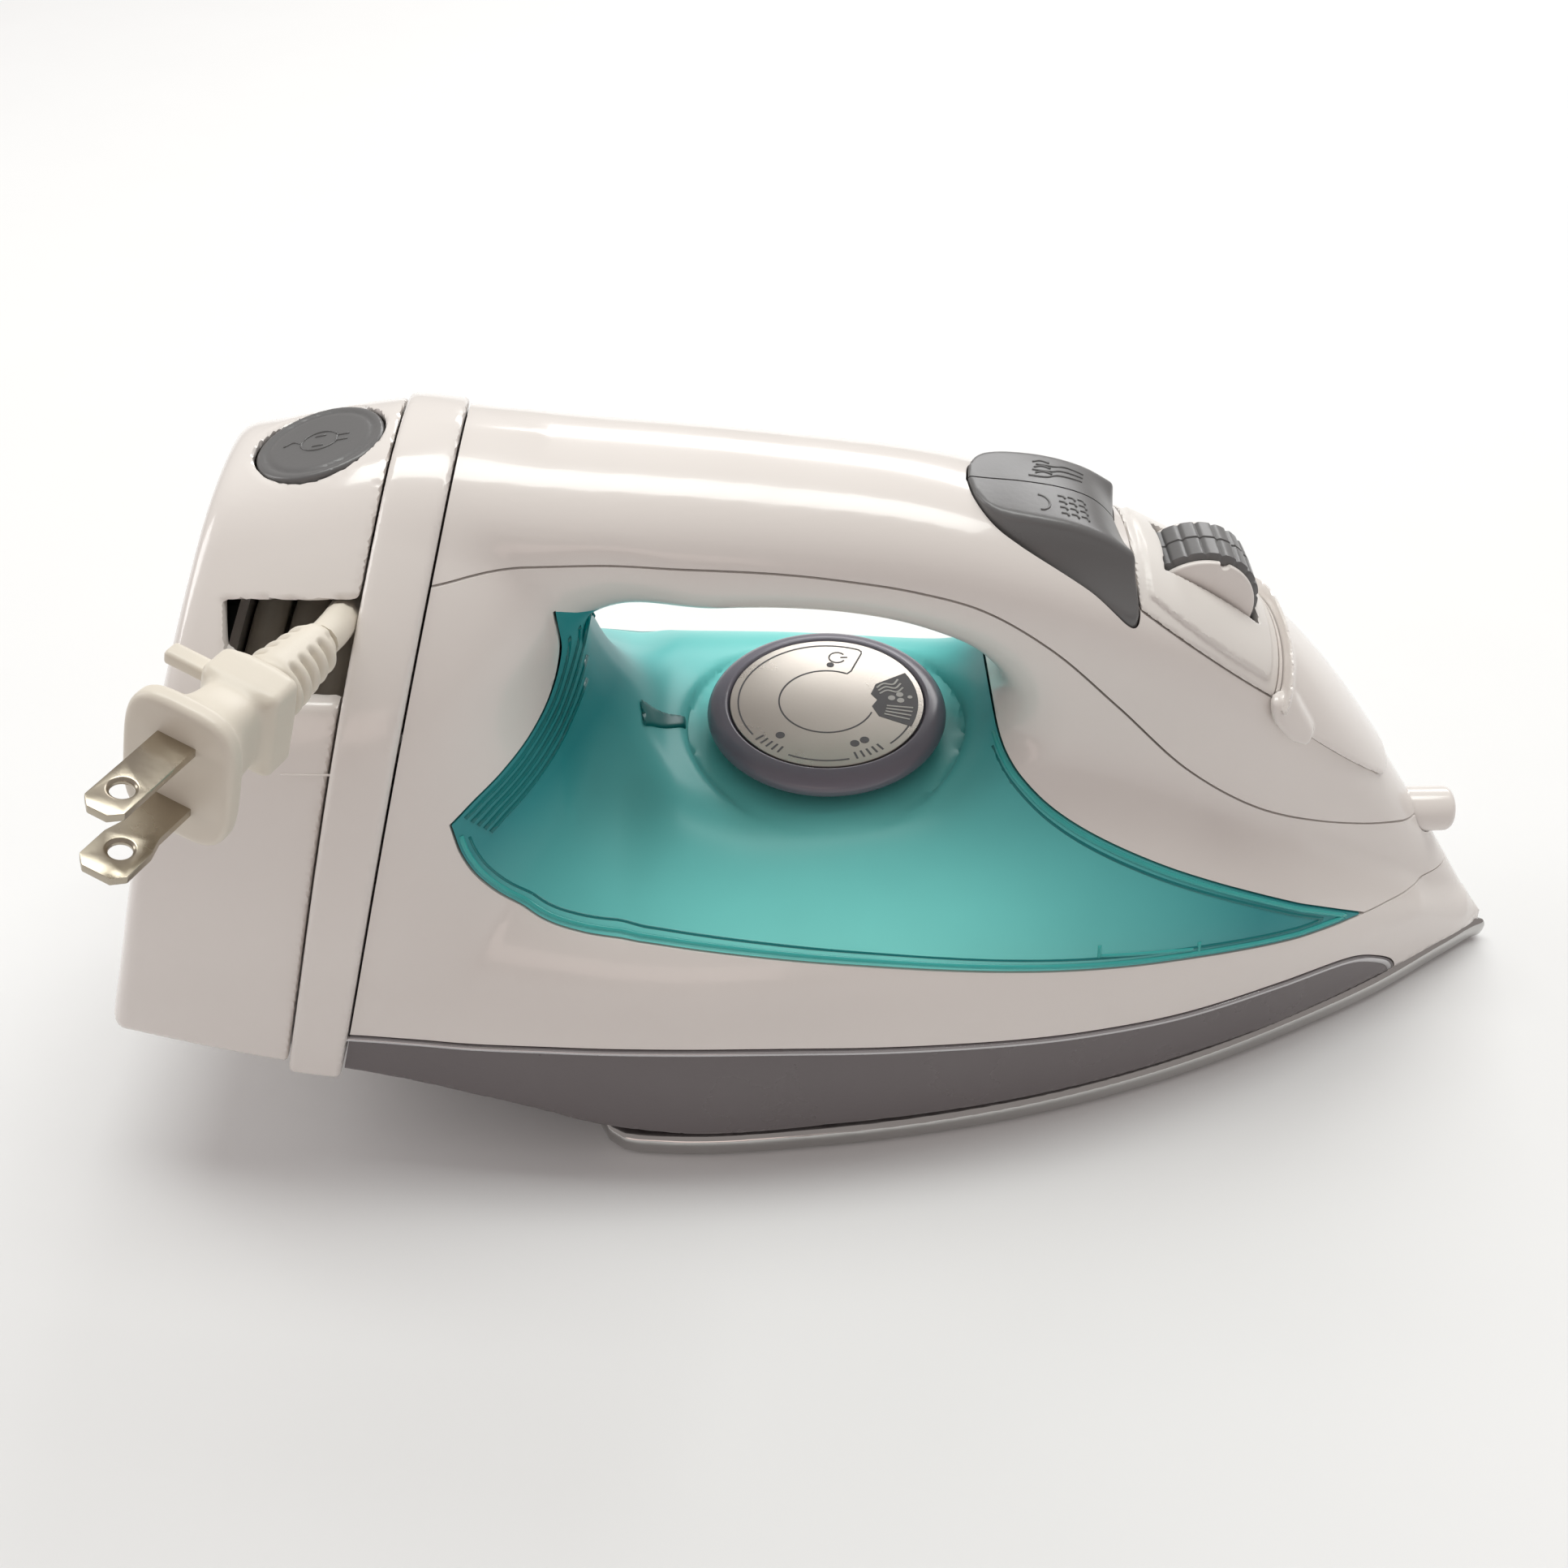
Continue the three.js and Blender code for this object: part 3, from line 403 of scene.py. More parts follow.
def cord_mesh():
    """A round cord along its route."""
    data = bpy.data.curves.new("cord", "CURVE")
    data.dimensions = "3D"
    data.bevel_depth = CORD / 2 * MM
    data.bevel_resolution = 4
    data.use_fill_caps = True
    line = data.splines.new("POLY")
    line.points.add(len(CORD_ROUTE) - 1)
    for spot, place in zip(line.points, CORD_ROUTE):
        spot.co = (*(Vector(place) * MM), 1)
    curve = new_object("cord", data)
    bpy.context.view_layer.update()
    view = bpy.context.evaluated_depsgraph_get()
    baked = bpy.data.meshes.new_from_object(curve.evaluated_get(view))
    bpy.data.objects.remove(curve)
    bpy.data.curves.remove(data)
    return new_object("cord", baked)


cord = finish_piece(cord_mesh(), "housing", CREAM, ("cord_lead", "cord_winding"))


# ---- the moulded form, as a smooth field
def profile(points, blur=3.0):
    """A smooth function through [x, value] points, as a table."""
    points = np.array(points, float)
    xs = np.arange(points[0, 0] - 20, points[-1, 0] + 20, 0.5)
    slope = np.gradient(points[:, 1], points[:, 0])
    i = np.clip(np.searchsorted(points[:, 0], xs) - 1, 0, len(points) - 2)
    span = points[i + 1, 0] - points[i, 0]
    t = np.clip((xs - points[i, 0]) / span, 0, 1)
    values = ((1 + 2 * t) * (1 - t) ** 2 * points[i, 1] + t * t * (3 - 2 * t) * points[i + 1, 1]
              + span * (t * (1 - t) ** 2 * slope[i] - t * t * (1 - t) * slope[i + 1]))
    reach = int(blur * 6)
    bell = np.exp(-0.5 * (np.arange(-reach, reach + 1) / (blur * 2)) ** 2)
    values = np.convolve(np.pad(values, reach, mode="edge"), bell / bell.sum(), "valid")
    return lambda x: np.interp(x, xs, values)


top_line = profile([
    [-175, 132], [-140, 135], [-108, 138.5], [-80, 143], [-45, 139.8], [-13, 136.2], [24, 129.6],
    [50, 119.5], [80, 101], [99, 82.5], [122, 51.5], [134, 34], [147, 14], [160, -3]])
bottom_line = profile([
    [-175, 38], [-150, 34.2], [-132, 29.4], [-114.7, 25.3], [-103.5, 23.7], [-81.6, 19.3], [-66.9, 15.6],
    [-53.9, 11], [-40, 8.2], [0, 7.4], [160, 7]])
plan_half = profile([
    [-175, 43], [-130, 47.5], [-104, 50], [-73, 54.5], [-45, 57], [-32, 57.3], [-8, 56], [18, 53],
    [45, 47.8], [73, 39.5], [103, 27.3], [124, 17], [143, 6.5], [154, 0.4], [160, 0.2]], 1.5)
pod_half = profile([
    [-175, 43], [-130, 47.5], [-100, 49], [-82, 48], [-73, 44.5], [-65, 38.5], [-58, 30.5], [-51, 20],
    [-45, 9], [-38, 3], [-30, 2]])
dome_top = profile([[-175, 84], [-60, 80], [-40, 77], [0, 75.5], [50, 70], [90, 52], [120, 35], [154, 10]])
neck_half = profile([
    [-175, 24], [-60, 21.5], [0, 20.5], [60, 20.5], [85, 19], [110, 13.5], [130, 8], [145, 4], [154, 0.4],
    [160, 0.2]], 2)


def smooth_min(a, b, k):
    h = np.maximum(k - np.abs(a - b), 0) / k
    return np.minimum(a, b) - h * h * k / 4


def smooth_max(a, b, k):
    return -smooth_min(-a, -b, k)


OPENING = smooth_line([
    [-52.5, 99], [-49.5, 107.5], [-43, 111], [-30, 111.8], [-13, 111.6], [1, 109.8], [13, 106.4],
    [24, 100.4], [30, 91.5], [27, 80], [19, 72.6], [0, 70.6], [-22, 71], [-38, 76.5],
    [-48, 87]], 1.0, closed=True)


def polygon_distance(x, z, outline):
    """Signed distance from a closed outline in a plane, below zero inside."""
    p = np.stack([x, z], -1).astype(np.float32)
    a = np.array(outline, np.float32)
    b = np.roll(a, -1, axis=0)
    best = np.full(x.shape, 1e9, np.float32)
    inside = np.zeros(x.shape, bool)
    for (ax, az), (bx, bz) in zip(a, b):
        ex, ez = bx - ax, bz - az
        t = np.clip(((p[..., 0] - ax) * ex + (p[..., 1] - az) * ez) / (ex * ex + ez * ez + 1e-12), 0, 1)
        best = np.minimum(best, (p[..., 0] - ax - t * ex) ** 2 + (p[..., 1] - az - t * ez) ** 2)
        crosses = (az > p[..., 1]) != (bz > p[..., 1])
        if ez:
            inside ^= crosses & (p[..., 0] < ex * (p[..., 1] - az) / ez + ax)
    return np.where(inside, -1, 1) * np.sqrt(best)


def outline_field(outline, step=0.5, margin=8.0, box=None):
    """The signed distance from a closed outline in a plane, as a function looked up in a table."""
    flat = np.array(outline, float)
    low, high = np.array(box, float) if box else (flat.min(0) - margin, flat.max(0) + margin)
    axes = [np.arange(low[i], high[i] + step, step) for i in range(2)]
    table = polygon_distance(*np.meshgrid(*axes, indexing="ij"), outline)

    def look(a, b):
        i = np.clip((a - low[0]) / step, 0, len(axes[0]) - 1.001)
        j = np.clip((b - low[1]) / step, 0, len(axes[1]) - 1.001)
        beyond = np.hypot(a - (low[0] + i * step), b - (low[1] + j * step))
        i0, j0 = i.astype(int), j.astype(int)
        u, v = i - i0, j - j0
        return beyond + ((table[i0, j0] * (1 - u) + table[i0 + 1, j0] * u) * (1 - v)
                         + (table[i0, j0 + 1] * (1 - u) + table[i0 + 1, j0 + 1] * u) * v)

    return look


opening_distance = outline_field(OPENING, box=((-110, 30), (89.5, 159.5)))
DIAL_X = -3.5
NECK_DEPTH = 22
DISH_RADIUS, DISH_FLOOR, DISH_TOP = 28.8, 70.8, 92


def field(x, y, z):
    """Below zero inside the moulded form, and roughly a distance in millimetres outside."""
    y = np.abs(y)
    top = top_line(x)
    # the base, which leans in to a dome under the hand opening
    w = plan_half(x)
    cap = np.minimum(dome_top(x), top)
    shoulder_z = np.minimum(22, cap - 7)
    rise = np.maximum(z - shoulder_z, 0) / (cap - shoulder_z)
    base = (np.sqrt((y / w) ** 2 + rise**3) - 1) * np.clip(w, 8, 40)
    # the handle and its pillars, round on top
    h = neck_half(x)
    rise = np.maximum(z - top + NECK_DEPTH, 0) / NECK_DEPTH
    neck = (np.sqrt((y / h) ** 2 + rise**3.4) - 1) * np.maximum(h, 8)
    # the heel, with a flat crown for the release button
    pod = pod_half(x)
    rise = np.maximum(z - 20, 0) / np.maximum(top - 20, 2)
    crown = y * (1 - ramp(-x, 62, 84) * np.exp(-((y / 16) ** 2)))
    heel = (((crown / pod) ** 1.3 + np.minimum(rise, 1.3) ** 5.5) ** (1 / 1.3) - 1) * np.clip(pod, 8, 30)
    heel = heel + np.maximum(x + 55, 0)
    form = smooth_min(base, neck, 20 * np.clip((150 - x) / 55, 0.1, 1))
    form = smooth_min(form, heel, 3 + 14 * ramp(z, 48, 92) * (1 - ramp(z - top, -34, -12)))
    # the hand opening, with its softest edge at the rear pillar and its tightest along the tank
    gap = -opening_distance(x, z)
    rear = ramp(-x, 24, 46)
    low = ramp(-z, -86, -74) * ramp(x, -46, -32)
    soft = (13 + 12 * rear) * (1 - low) + 6 * low
    form = smooth_max(form, gap - 0.1 * soft * rear * (1 - low), soft)
    # the dish under the dial, and the underside
    dish = np.maximum(np.maximum(np.hypot(x - DIAL_X, y) - DISH_RADIUS, DISH_FLOOR - z), z - DISH_TOP)
    form = smooth_max(form, -dish, 2.5)
    return smooth_max(form, bottom_line(x) - z, 1.5)


FORM_LOW, FORM_HIGH = (-175.0, -62.0, 2.0), (158.0, 62.0, 150.0)
FORM_CELL = 1.25


def field_mesh(name, form, low, high, cell):
    """A closed mesh of the surface where form(x, y, z) is zero. The form is below zero inside."""
    cell *= 1
    low = np.array(low, float) - 2 * cell
    counts = np.ceil((np.array(high) - low) / cell).astype(int) + 3
    axes = [low[i] + cell * np.arange(counts[i]) for i in range(3)]
    x, z = np.meshgrid(axes[0], axes[2], indexing="ij")
    values = np.stack([form(x, np.full_like(x, y), z) for y in axes[1]], 1)
    far = 3.0 * cell
    values = np.clip(values, -far, far).astype(np.float32)
    for side in (0, -1):
        values[side], values[:, side], values[:, :, side] = far, far, far
    grid = openvdb.FloatGrid(far)
    grid.copyFromArray(values)
    points, quads = grid.convertToQuads(isovalue=0.0)
    points = points.astype(float) * cell + low
    step = 0.02
    for _ in range(5):
        x, y, z = points.T
        slope = np.stack([form(x + step, y, z) - form(x - step, y, z),
                          form(x, y + step, z) - form(x, y - step, z),
                          form(x, y, z + step) - form(x, y, z - step)], -1) / (2 * step)
        move = slope * (form(x, y, z) / np.maximum((slope**2).sum(-1), 0.15))[:, None]
        length = np.linalg.norm(move, axis=1, keepdims=True)
        points -= move * np.minimum(1, 0.3 * cell / np.maximum(length, 1e-9))
    return face_out(mesh_object(name, points, quads))


def halve(outside, low, high, rounds):
    """Closes in on the surface between low, which is inside, and high, which is outside."""
    for _ in range(rounds):
        middle = (low + high) / 2
        out = outside(middle)
        high = np.where(out, middle, high)
        low = np.where(out, low, middle)
    return (low + high) / 2


def surface_y(x, z, inset=0.0):
    """How far from the middle plane the surface is, at a place in the side view."""
    return halve(lambda y: field(x, y, z) + inset > 0, np.zeros(x.shape), np.full(x.shape, 66.0), 30)


def surface_z(x, y, form, start, reach=30.0, step=0.25):
    """The height of a form's upper surface at places in plan, looked for downwards from start."""
    z = np.full(x.shape, float(start))
    found = np.zeros(x.shape, bool)
    for _ in range(int(reach / step)):
        found |= form(x, y, z) < 0
        z = np.where(found, z, z - step)
    return halve(lambda middle: form(x, y, middle) > 0, z, z + step, 20)


def joined(name, objects):
    """One object of several."""
    work = bmesh.new()
    for obj in objects:
        work.from_mesh(obj.data)
        drop(obj)
    data = bpy.data.meshes.new(name)
    work.to_mesh(data)
    work.free()
    return new_object(name, data)


def bar(points, radius, sides=6):
    """A thin round bar along points, as a closed mesh made of rings of points."""
    line = np.array(points, float)
    along = np.gradient(line, axis=0)
    along /= np.linalg.norm(along, axis=1)[:, None]
    guide = np.array([0.0, 0.0, 1.0]) if abs(along[:, 2]).max() < 0.9 else np.array([0.31, 0.93, 0.2])
    across = np.cross(along, guide)
    across /= np.linalg.norm(across, axis=1)[:, None]
    other = np.cross(along, across)
    angles = 2 * math.pi * np.arange(sides) / sides
    rings = [middle + radius * (math.cos(angle) * a + math.sin(angle) * b)
             for middle, a, b in zip(line, across, other) for angle in angles]
    faces = [(i + k, i + (k + 1) % sides, i + sides + (k + 1) % sides, i + sides + k)
             for i in range(0, len(rings) - sides, sides) for k in range(sides)]
    faces += [tuple(range(sides))[::-1], tuple(range(len(rings) - sides, len(rings)))]
    return mesh_object("bar", rings, faces)


def lathe(name, outline, at=(0, 0, 0), axis="Z", segments=72):
    """A turned piece. The outline's [radius, height] points run from the axis to the axis, or make a ring."""
    outline = [tuple(map(float, p)) for p in outline]
    ring = outline[0][0] > 0
    core = outline if ring else outline[1:-1]
    turn = {"Z": lambda r, t, h: (r * math.cos(t), r * math.sin(t), h),
            "Y": lambda r, t, h: (r * math.cos(t), h, r * math.sin(t)),
            "X": lambda r, t, h: (h, r * math.cos(t), r * math.sin(t))}[axis]
    points = [np.array(turn(r, 2 * math.pi * k / segments, h)) + at
              for r, h in core for k in range(segments)]
    faces = []
    rows = len(core)
    for i in range(rows if ring else rows - 1):
        j = (i + 1) % rows
        faces += [(i * segments + k, j * segments + k, j * segments + (k + 1) % segments,
                   i * segments + (k + 1) % segments) for k in range(segments)]
    if not ring:
        points += [np.array(turn(0, 0, outline[0][1])) + at, np.array(turn(0, 0, outline[-1][1])) + at]
        base = rows * segments
        faces += [(base, k, (k + 1) % segments) for k in range(segments)]
        top = base - segments
        faces += [(base + 1, top + (k + 1) % segments, top + k) for k in range(segments)]
    return face_out(mesh_object(name, points, faces))


def rounded(outline, radius, closed=False, steps=4):
    """The outline with its corners rounded."""
    points = [np.array(p, float) for p in outline]
    made = []
    for i, p in enumerate(points):
        if not closed and i in (0, len(points) - 1):
            made.append(tuple(p))
            continue
        a, b = points[i - 1] - p, points[(i + 1) % len(points)] - p
        reach = min(radius, np.linalg.norm(a) * 0.45, np.linalg.norm(b) * 0.45)
        a, b = a / np.linalg.norm(a) * reach, b / np.linalg.norm(b) * reach
        for t in np.linspace(0, 1, steps):
            made.append(tuple(p + a * (1 - t) ** 2 + b * t * t))
    return made


# ---- outlines in the side view
SEAM = 0.45
HANDLE_SEAM = smooth_line([
    [-82, 128.4], [-64, 127.6], [-49.4, 127], [-31.7, 125.8], [-13.2, 124], [-0.2, 121.9], [11.5, 119.4],
    [23.8, 115.2], [37, 106.2], [51.2, 92], [67, 75.2], [82.7, 63.7], [98.9, 55.9], [115.9, 50],
    [122.2, 47], [134, 42], [150, 36]])
TANK_REAR = smooth_line([
    [-53.6, 117], [-53.7, 107], [-54.9, 101.6], [-56.8, 97.8], [-60, 94.6], [-64.7, 92], [-69.3, 89.9],
    [-73.7, 86.9]])
TANK_LOW = smooth_line([
    [-73.7, 86.9], [-72.6, 79.5], [-70.2, 73], [-66, 67], [-60.5, 63.2], [-52.3, 60.6], [-36.2, 57.9],
    [-14.5, 54.7], [7.6, 51.3], [31.6, 47], [61.9, 41.1], [90.9, 35.6], [112, 32.6]])
TANK_FRONT = smooth_line([
    [112, 32.6], [99.1, 39.6], [85.7, 46.6], [61.3, 59], [42.7, 69.3], [37, 73.5], [32.6, 78.1],
    [29.8, 81.9], [28.8, 85.8], [29, 92]])
SKIRT_TOP = smooth_line([
    [-110, 35.6], [-79.5, 35.6], [-56.5, 36.3], [-24.5, 35.7], [8, 32.1], [50.8, 26], [72.5, 23.4],
    [97.8, 22.6], [111.7, 20.6], [118.3, 17], [124.7, 11.3], [127.5, 5]])
NOSE_SEAM = [(112, 32.6), (118.7, 31.6), (127.5, 29.6), (160, 28.5)]
TANK_OUTLINE = [*TANK_REAR, *TANK_LOW[1:], *TANK_FRONT[1:], (20, 86), (0, 90), (-34, 107), (-44, 111),
                (-50, 114)]
ABOVE_SEAM = [*HANDLE_SEAM, (190, 36), (190, 190), (-140, 190), (-140, 128.4)]
BELOW_SKIRT = [*SKIRT_TOP, (127.5, -20), (-160, -20), (-160, 35)]
HINGE = (113.4, 64.4, 2.7)
DOOR_END = [(HINGE[0] + HINGE[2] * math.cos(math.radians(a)),
             HINGE[1] + HINGE[2] * math.sin(math.radians(a)))
            for a in range(229, 361, 11)]
DOOR_LOW = [(82.6, 90), (88.6, 82.4), *DOOR_END, (HINGE[0] + HINGE[2], 73)]
DOOR_REGION = [*DOOR_LOW, (96.4, 130), (85.3, 97.3)]
PANEL_REGION = [(52.6, 112.3), (81.8, 90.6), (84.5, 97.6), (95, 130), (52.6, 150)]
INDEX_OUTLINE = [(-41.4, -3.0), (-40.6, -8.6), (-32.6, -2.6), (-32.6, 0.4)]
BAND_FRONT, BAND_REAR, HEEL, HEEL_DRAFT, WALL = -111.5, -123.0, -163.0, 0.07, 2.4


def leaning(s, lean=HEEL_LEAN):
    """How far a place is ahead of a plane that leans with the heel."""
    return lambda x, z: (x - s - lean * z) / math.hypot(1, lean)


def slab(s0, s1):
    """The side view between two planes that lean with the heel."""
    return [(s + z * HEEL_LEAN, z) for s, z in ((s0, -20), (s1, -20), (s1, 190), (s0, 190))]


def button_plan(by=0.0):
    """Both thumb buttons' outline in plan, widened by a margin."""
    half = smooth_line([
        [21.9 - by, 0], [22.9 - by, 5.5], [25.9 - by * 0.7, 10.2 + by * 0.7], [30.5, 12.9 + by],
        [43, 16.4 + by], [52.5 + by * 0.7, 18.2 + by], [51.6 + by, 10], [50 + by, 0]], 0.5)
    return half + [(x, -y) for x, y in half[1:-1]][::-1]


SOLE_REAR = -54.0
sole_half = profile([
    [-60, 56], [-48, 56.5], [-34, 57.5], [-8, 56.4], [18, 53.5], [45, 48.3], [73, 40.1], [103, 27.9],
    [124.6, 17.4], [143.3, 6.3], [154, 0.5], [160, 0.3]], 1.5)
SOLE_SIDE = [(SOLE_REAR, 46.0), (SOLE_REAR + 0.6, 50.0), (SOLE_REAR + 2.6, 53.6), (SOLE_REAR + 6, 56.0)]
SOLE_SIDE += [(x, float(sole_half(x))) for x in np.arange(SOLE_REAR + 9, 153.5, 2.0)] + [(154.0, 0.0)]
SOLE_OUTLINE = SOLE_SIDE + [(x, -y) for x, y in SOLE_SIDE[:-1]][::-1]


# ---- the four mouldings of the body
HOLLOW_END = 128


def hollow_form(x, y, z):
    """The space inside the wall; the nose ahead of it is solid."""
    return np.maximum(field(x, y, z) + WALL, x - HOLLOW_END)


SHELL = field_mesh("form", field, FORM_LOW, FORM_HIGH, FORM_CELL)
hollow = field_mesh("hollow", hollow_form, FORM_LOW, FORM_HIGH, FORM_CELL)
cut(SHELL, prism(slab(BAND_FRONT + SEAM / 2, 400)), "INTERSECT")
cut(hollow, prism(slab(BAND_FRONT + SEAM / 2 + WALL, 400)), "INTERSECT")
cut(SHELL, hollow)
heater_bay = [(min(x * 0.955, 134.8), y * 0.9) for x, y in SOLE_OUTLINE]
cut(SHELL, prism(heater_bay, -10, 17.6, "Z"))


def moulding(name, keep=(), remove=()):
    """A part of the shell: inside every outline to keep, outside every outline to remove."""
    made = copy_of(SHELL, name)
    for outline in keep:
        cut(made, prism(outline), "INTERSECT")
    for outline in remove:
        cut(made, prism(outline))
    return made


def drill(radius, at, axis, length, segments=64):
    ends = [(0, -length / 2), (radius, -length / 2), (radius, length / 2), (0, length / 2)]
    return lathe("drill", ends, at, axis, segments)


def hole(obj, radius, at, axis, length):
    """Drills through a piece."""
    return cut(obj, drill(radius, at, axis, length))


NOZZLE = (123.0, 0.0, 43.0)
NOZZLE_BORE, SPINDLE_BORE = 5.3, 4.2
TANK_SEAMS = (strip(TANK_REAR + TANK_LOW[1:], SEAM), strip(TANK_FRONT, SEAM))
body = moulding("body_shell_skin", (), (ABOVE_SEAM, strip(HANDLE_SEAM, SEAM), TANK_OUTLINE, *TANK_SEAMS,
                                        BELOW_SKIRT, strip(SKIRT_TOP, SEAM), strip(NOSE_SEAM, 0.35)))
hole(body, NOZZLE_BORE, NOZZLE, "X", 40)
cover = moulding("handle_cover_skin", (ABOVE_SEAM,), (strip(HANDLE_SEAM, SEAM), PANEL_REGION, DOOR_REGION))
cut(cover, prism(button_plan(0.35), 96, 150, "Z"))
hole(cover, NOZZLE_BORE, NOZZLE, "X", 40)
skirt = moulding("skirt_trim_skin", (BELOW_SKIRT,), (strip(SKIRT_TOP, 0.3),))
for piece, cad, made_of in ((body, "body_shell", WHITE), (cover, "handle_cover", WHITE),
                            (skirt, "skirt_trim", DARK_GREY)):
    moulded(keep_largest(piece), "housing", made_of, cad)

tank = moulding("water_tank_skin", (TANK_OUTLINE,), TANK_SEAMS)
hole(tank, SPINDLE_BORE, (DIAL_X, 0, 60), "Z", 80)
moulded(keep_largest(tank), "housing", TEAL, "water_tank")

# ---- the band and the reel's housing
front_of_rear, front_of_front = leaning(BAND_REAR + SEAM / 2), leaning(BAND_FRONT - SEAM / 2)


def band_form(x, y, z):
    proud = field(x, y, z) - 1.2
    ends = np.maximum(-front_of_rear(x, z), front_of_front(x, z))
    return np.maximum(smooth_max(proud, ends, 1.2), -(field(x, y, z) + WALL))


band = field_mesh("collar_band_skin", band_form, (-128, -62, 12), (-66, 62, 146), 0.8)
moulded(band, "housing", WHITE, "collar_band")

POCKET = outline_field([(-108.8, 126.2), (-84.2, 127.4), (-87.2, 112.8), (-97.5, 112.8), (-108.8, 119.5)],
                       0.4)
CORD_BUTTON = (-94.5, 0.0, 11.6)
ahead_of_heel, behind_band = leaning(HEEL, HEEL_LEAN + HEEL_DRAFT), leaning(BAND_REAR - SEAM / 2)


def pod_form(x, y, z):
    skin = field(x, y, z)
    solid = smooth_max(smooth_max(skin, -ahead_of_heel(x, z), 3.5), behind_band(x, z), 0.8)
    inside = np.maximum(np.maximum(skin + WALL, -ahead_of_heel(x, z) + WALL), behind_band(x, z) - 5)
    wall = np.maximum(solid, -inside)
    mouth = smooth_max(POCKET(x, z), y + 14, 0.5)
    button = np.maximum(np.hypot(x - CORD_BUTTON[0], y) - CORD_BUTTON[2] - 0.4, 118 - z)
    return smooth_max(smooth_max(wall, -mouth, 0.8), -button, 0.6)


pod = field_mesh("reel_housing_skin", pod_form, (-166, -60, 16), (-72, 60, 144), 0.8)
moulded(pod, "housing", WHITE, "reel_housing")

# ---- soleplate
sole_plan = outline_field(SOLE_OUTLINE)
SOLE_THICKNESS = 6.2


def sole_form(x, y, z):
    return smooth_max(sole_plan(x, y), np.abs(z - SOLE_THICKNESS / 2) - SOLE_THICKNESS / 2, 2.4)


sole = field_mesh("soleplate_plate", sole_form, (-56, -60, 0), (156, 60, SOLE_THICKNESS), 0.9)
vents = []
for x, y in ((-30, 40), (-6, 40), (18, 37), (42, 32), (66, 25), (88, 17), (106, 9), (124, 0)):
    for side in (-1, 1) if y else (1,):
        vents.append(drill(1.8, (x, side * y, 3.5), "Z", 17, 20))
cut(sole, joined("vents", vents))
moulded(sole, "housing", CHROME, "soleplate")

# ---- thumb buttons
plan_of_buttons = outline_field(button_plan(), 0.25, 4.0)
crest = profile([[18, 0.4], [24, 1.0], [32, 2.6], [40, 3.9], [46, 4.2], [53, 3.8], [58, 3.6]], 1)
shoulder = profile([[18, 4], [23, 8.4], [27, 10.6], [33, 11.6], [40, 11.9], [47, 12.2], [58, 12.2]], 1)
flank = profile([[18, 4], [23, 8.4], [28, 12], [33, 13.6], [43, 16.4], [52.5, 18.2], [58, 18.4]], 1)

CAP_DEPTH = 4


def button_form(x, y, z):
    """A flat-topped saddle: its sides fall away in a hollow, and its front is scooped."""
    top = top_line(x) + crest(x)
    fall = np.clip((top - z) / (crest(x) + 6.5), 0, 1.6)
    sides = np.abs(y) - shoulder(x) - (flank(x) - shoulder(x)) * fall**1.9
    scoop = 4.2 * np.exp(-((x - 54) / 5.5) ** 2) * np.exp(-((y / 10.5) ** 4))
    cap = smooth_max(z - top + scoop + (y / 26) ** 2 * 2, sides * 0.8, 1.4)
    cap = smooth_max(cap, plan_of_buttons(x, y), 0.8)
    cap = smooth_max(cap, -(field(x, y, z) + CAP_DEPTH), 0.6)
    return smooth_max(cap, top_line(x) - 15 - z, 0.6)


caps = field_mesh("thumb_buttons", button_form, (20, -21, 96), (56, 21, 140), 0.45)
for name, side in (("spray", -1), ("steam", 1)):
    cap = copy_of(caps, f"{name}_button_cap")
    near, far = sorted((0.2 * side, 60 * side))
    cut(cap, prism([(0, 60), (80, 60), (80, 160), (0, 160)], near, far), "INTERSECT")
    moulded(cap, f"{name}_trigger", GREY, f"{name}_button")
drop(caps)

# ---- control panel, wheel, door and nozzle
panel_side = outline_field(PANEL_REGION)
WHEEL = (67.0, 0.0, 104.5)


def panel_form(x, y, z):
    skin = field(x, y, z)
    step = ramp(panel_side(x, z), -3.2, -2.2)
    plate = smooth_max(skin - 1.3 + 0.9 * step, panel_side(x, z) + 0.25, 0.8)
    plate = np.maximum(plate, -(skin + WALL))
    plate = np.maximum(plate, -plan_of_buttons(x, y) + 0.4)
    ears = np.maximum(np.maximum(np.abs(x - WHEEL[0]) - 5, np.abs(z - 107) - 8),
                      np.abs(np.abs(y) - 9) - 1.4)
    plate = np.minimum(plate, np.maximum(ears, skin + 1))
    slot = np.maximum(np.hypot(x - WHEEL[0], z - WHEEL[2]) - 12.9, np.abs(y) - 7.6)
    return smooth_max(plate, -slot, 0.6)


panel = field_mesh("control_panel_skin", panel_form, (50, -26, 86), (90, 26, 126), 0.55)
hole(panel, 2.3, WHEEL, "Y", 22)
moulded(panel, "housing", PANEL_WHITE, "control_panel")

wheel_outline = rounded([(2.2, -7), (10.8, -7), (10.8, -5.7), (9.7, -5.5), (9.7, 5.5), (10.8, 5.7),
                         (10.8, 7), (2.2, 7)], 0.6, closed=True)
wheel = lathe("steam_wheel_disc", wheel_outline, WHEEL, "Y", 96)
NOTCH = 0.35
notch_at = (WHEEL[0] + 10.8 * math.sin(NOTCH), 0, WHEEL[2] + 10.8 * math.cos(NOTCH))
cut(wheel, drill(1.1, notch_at, "Y", 18, 20))
moulded(wheel, "steam_wheel", WHITE, "steam_wheel")


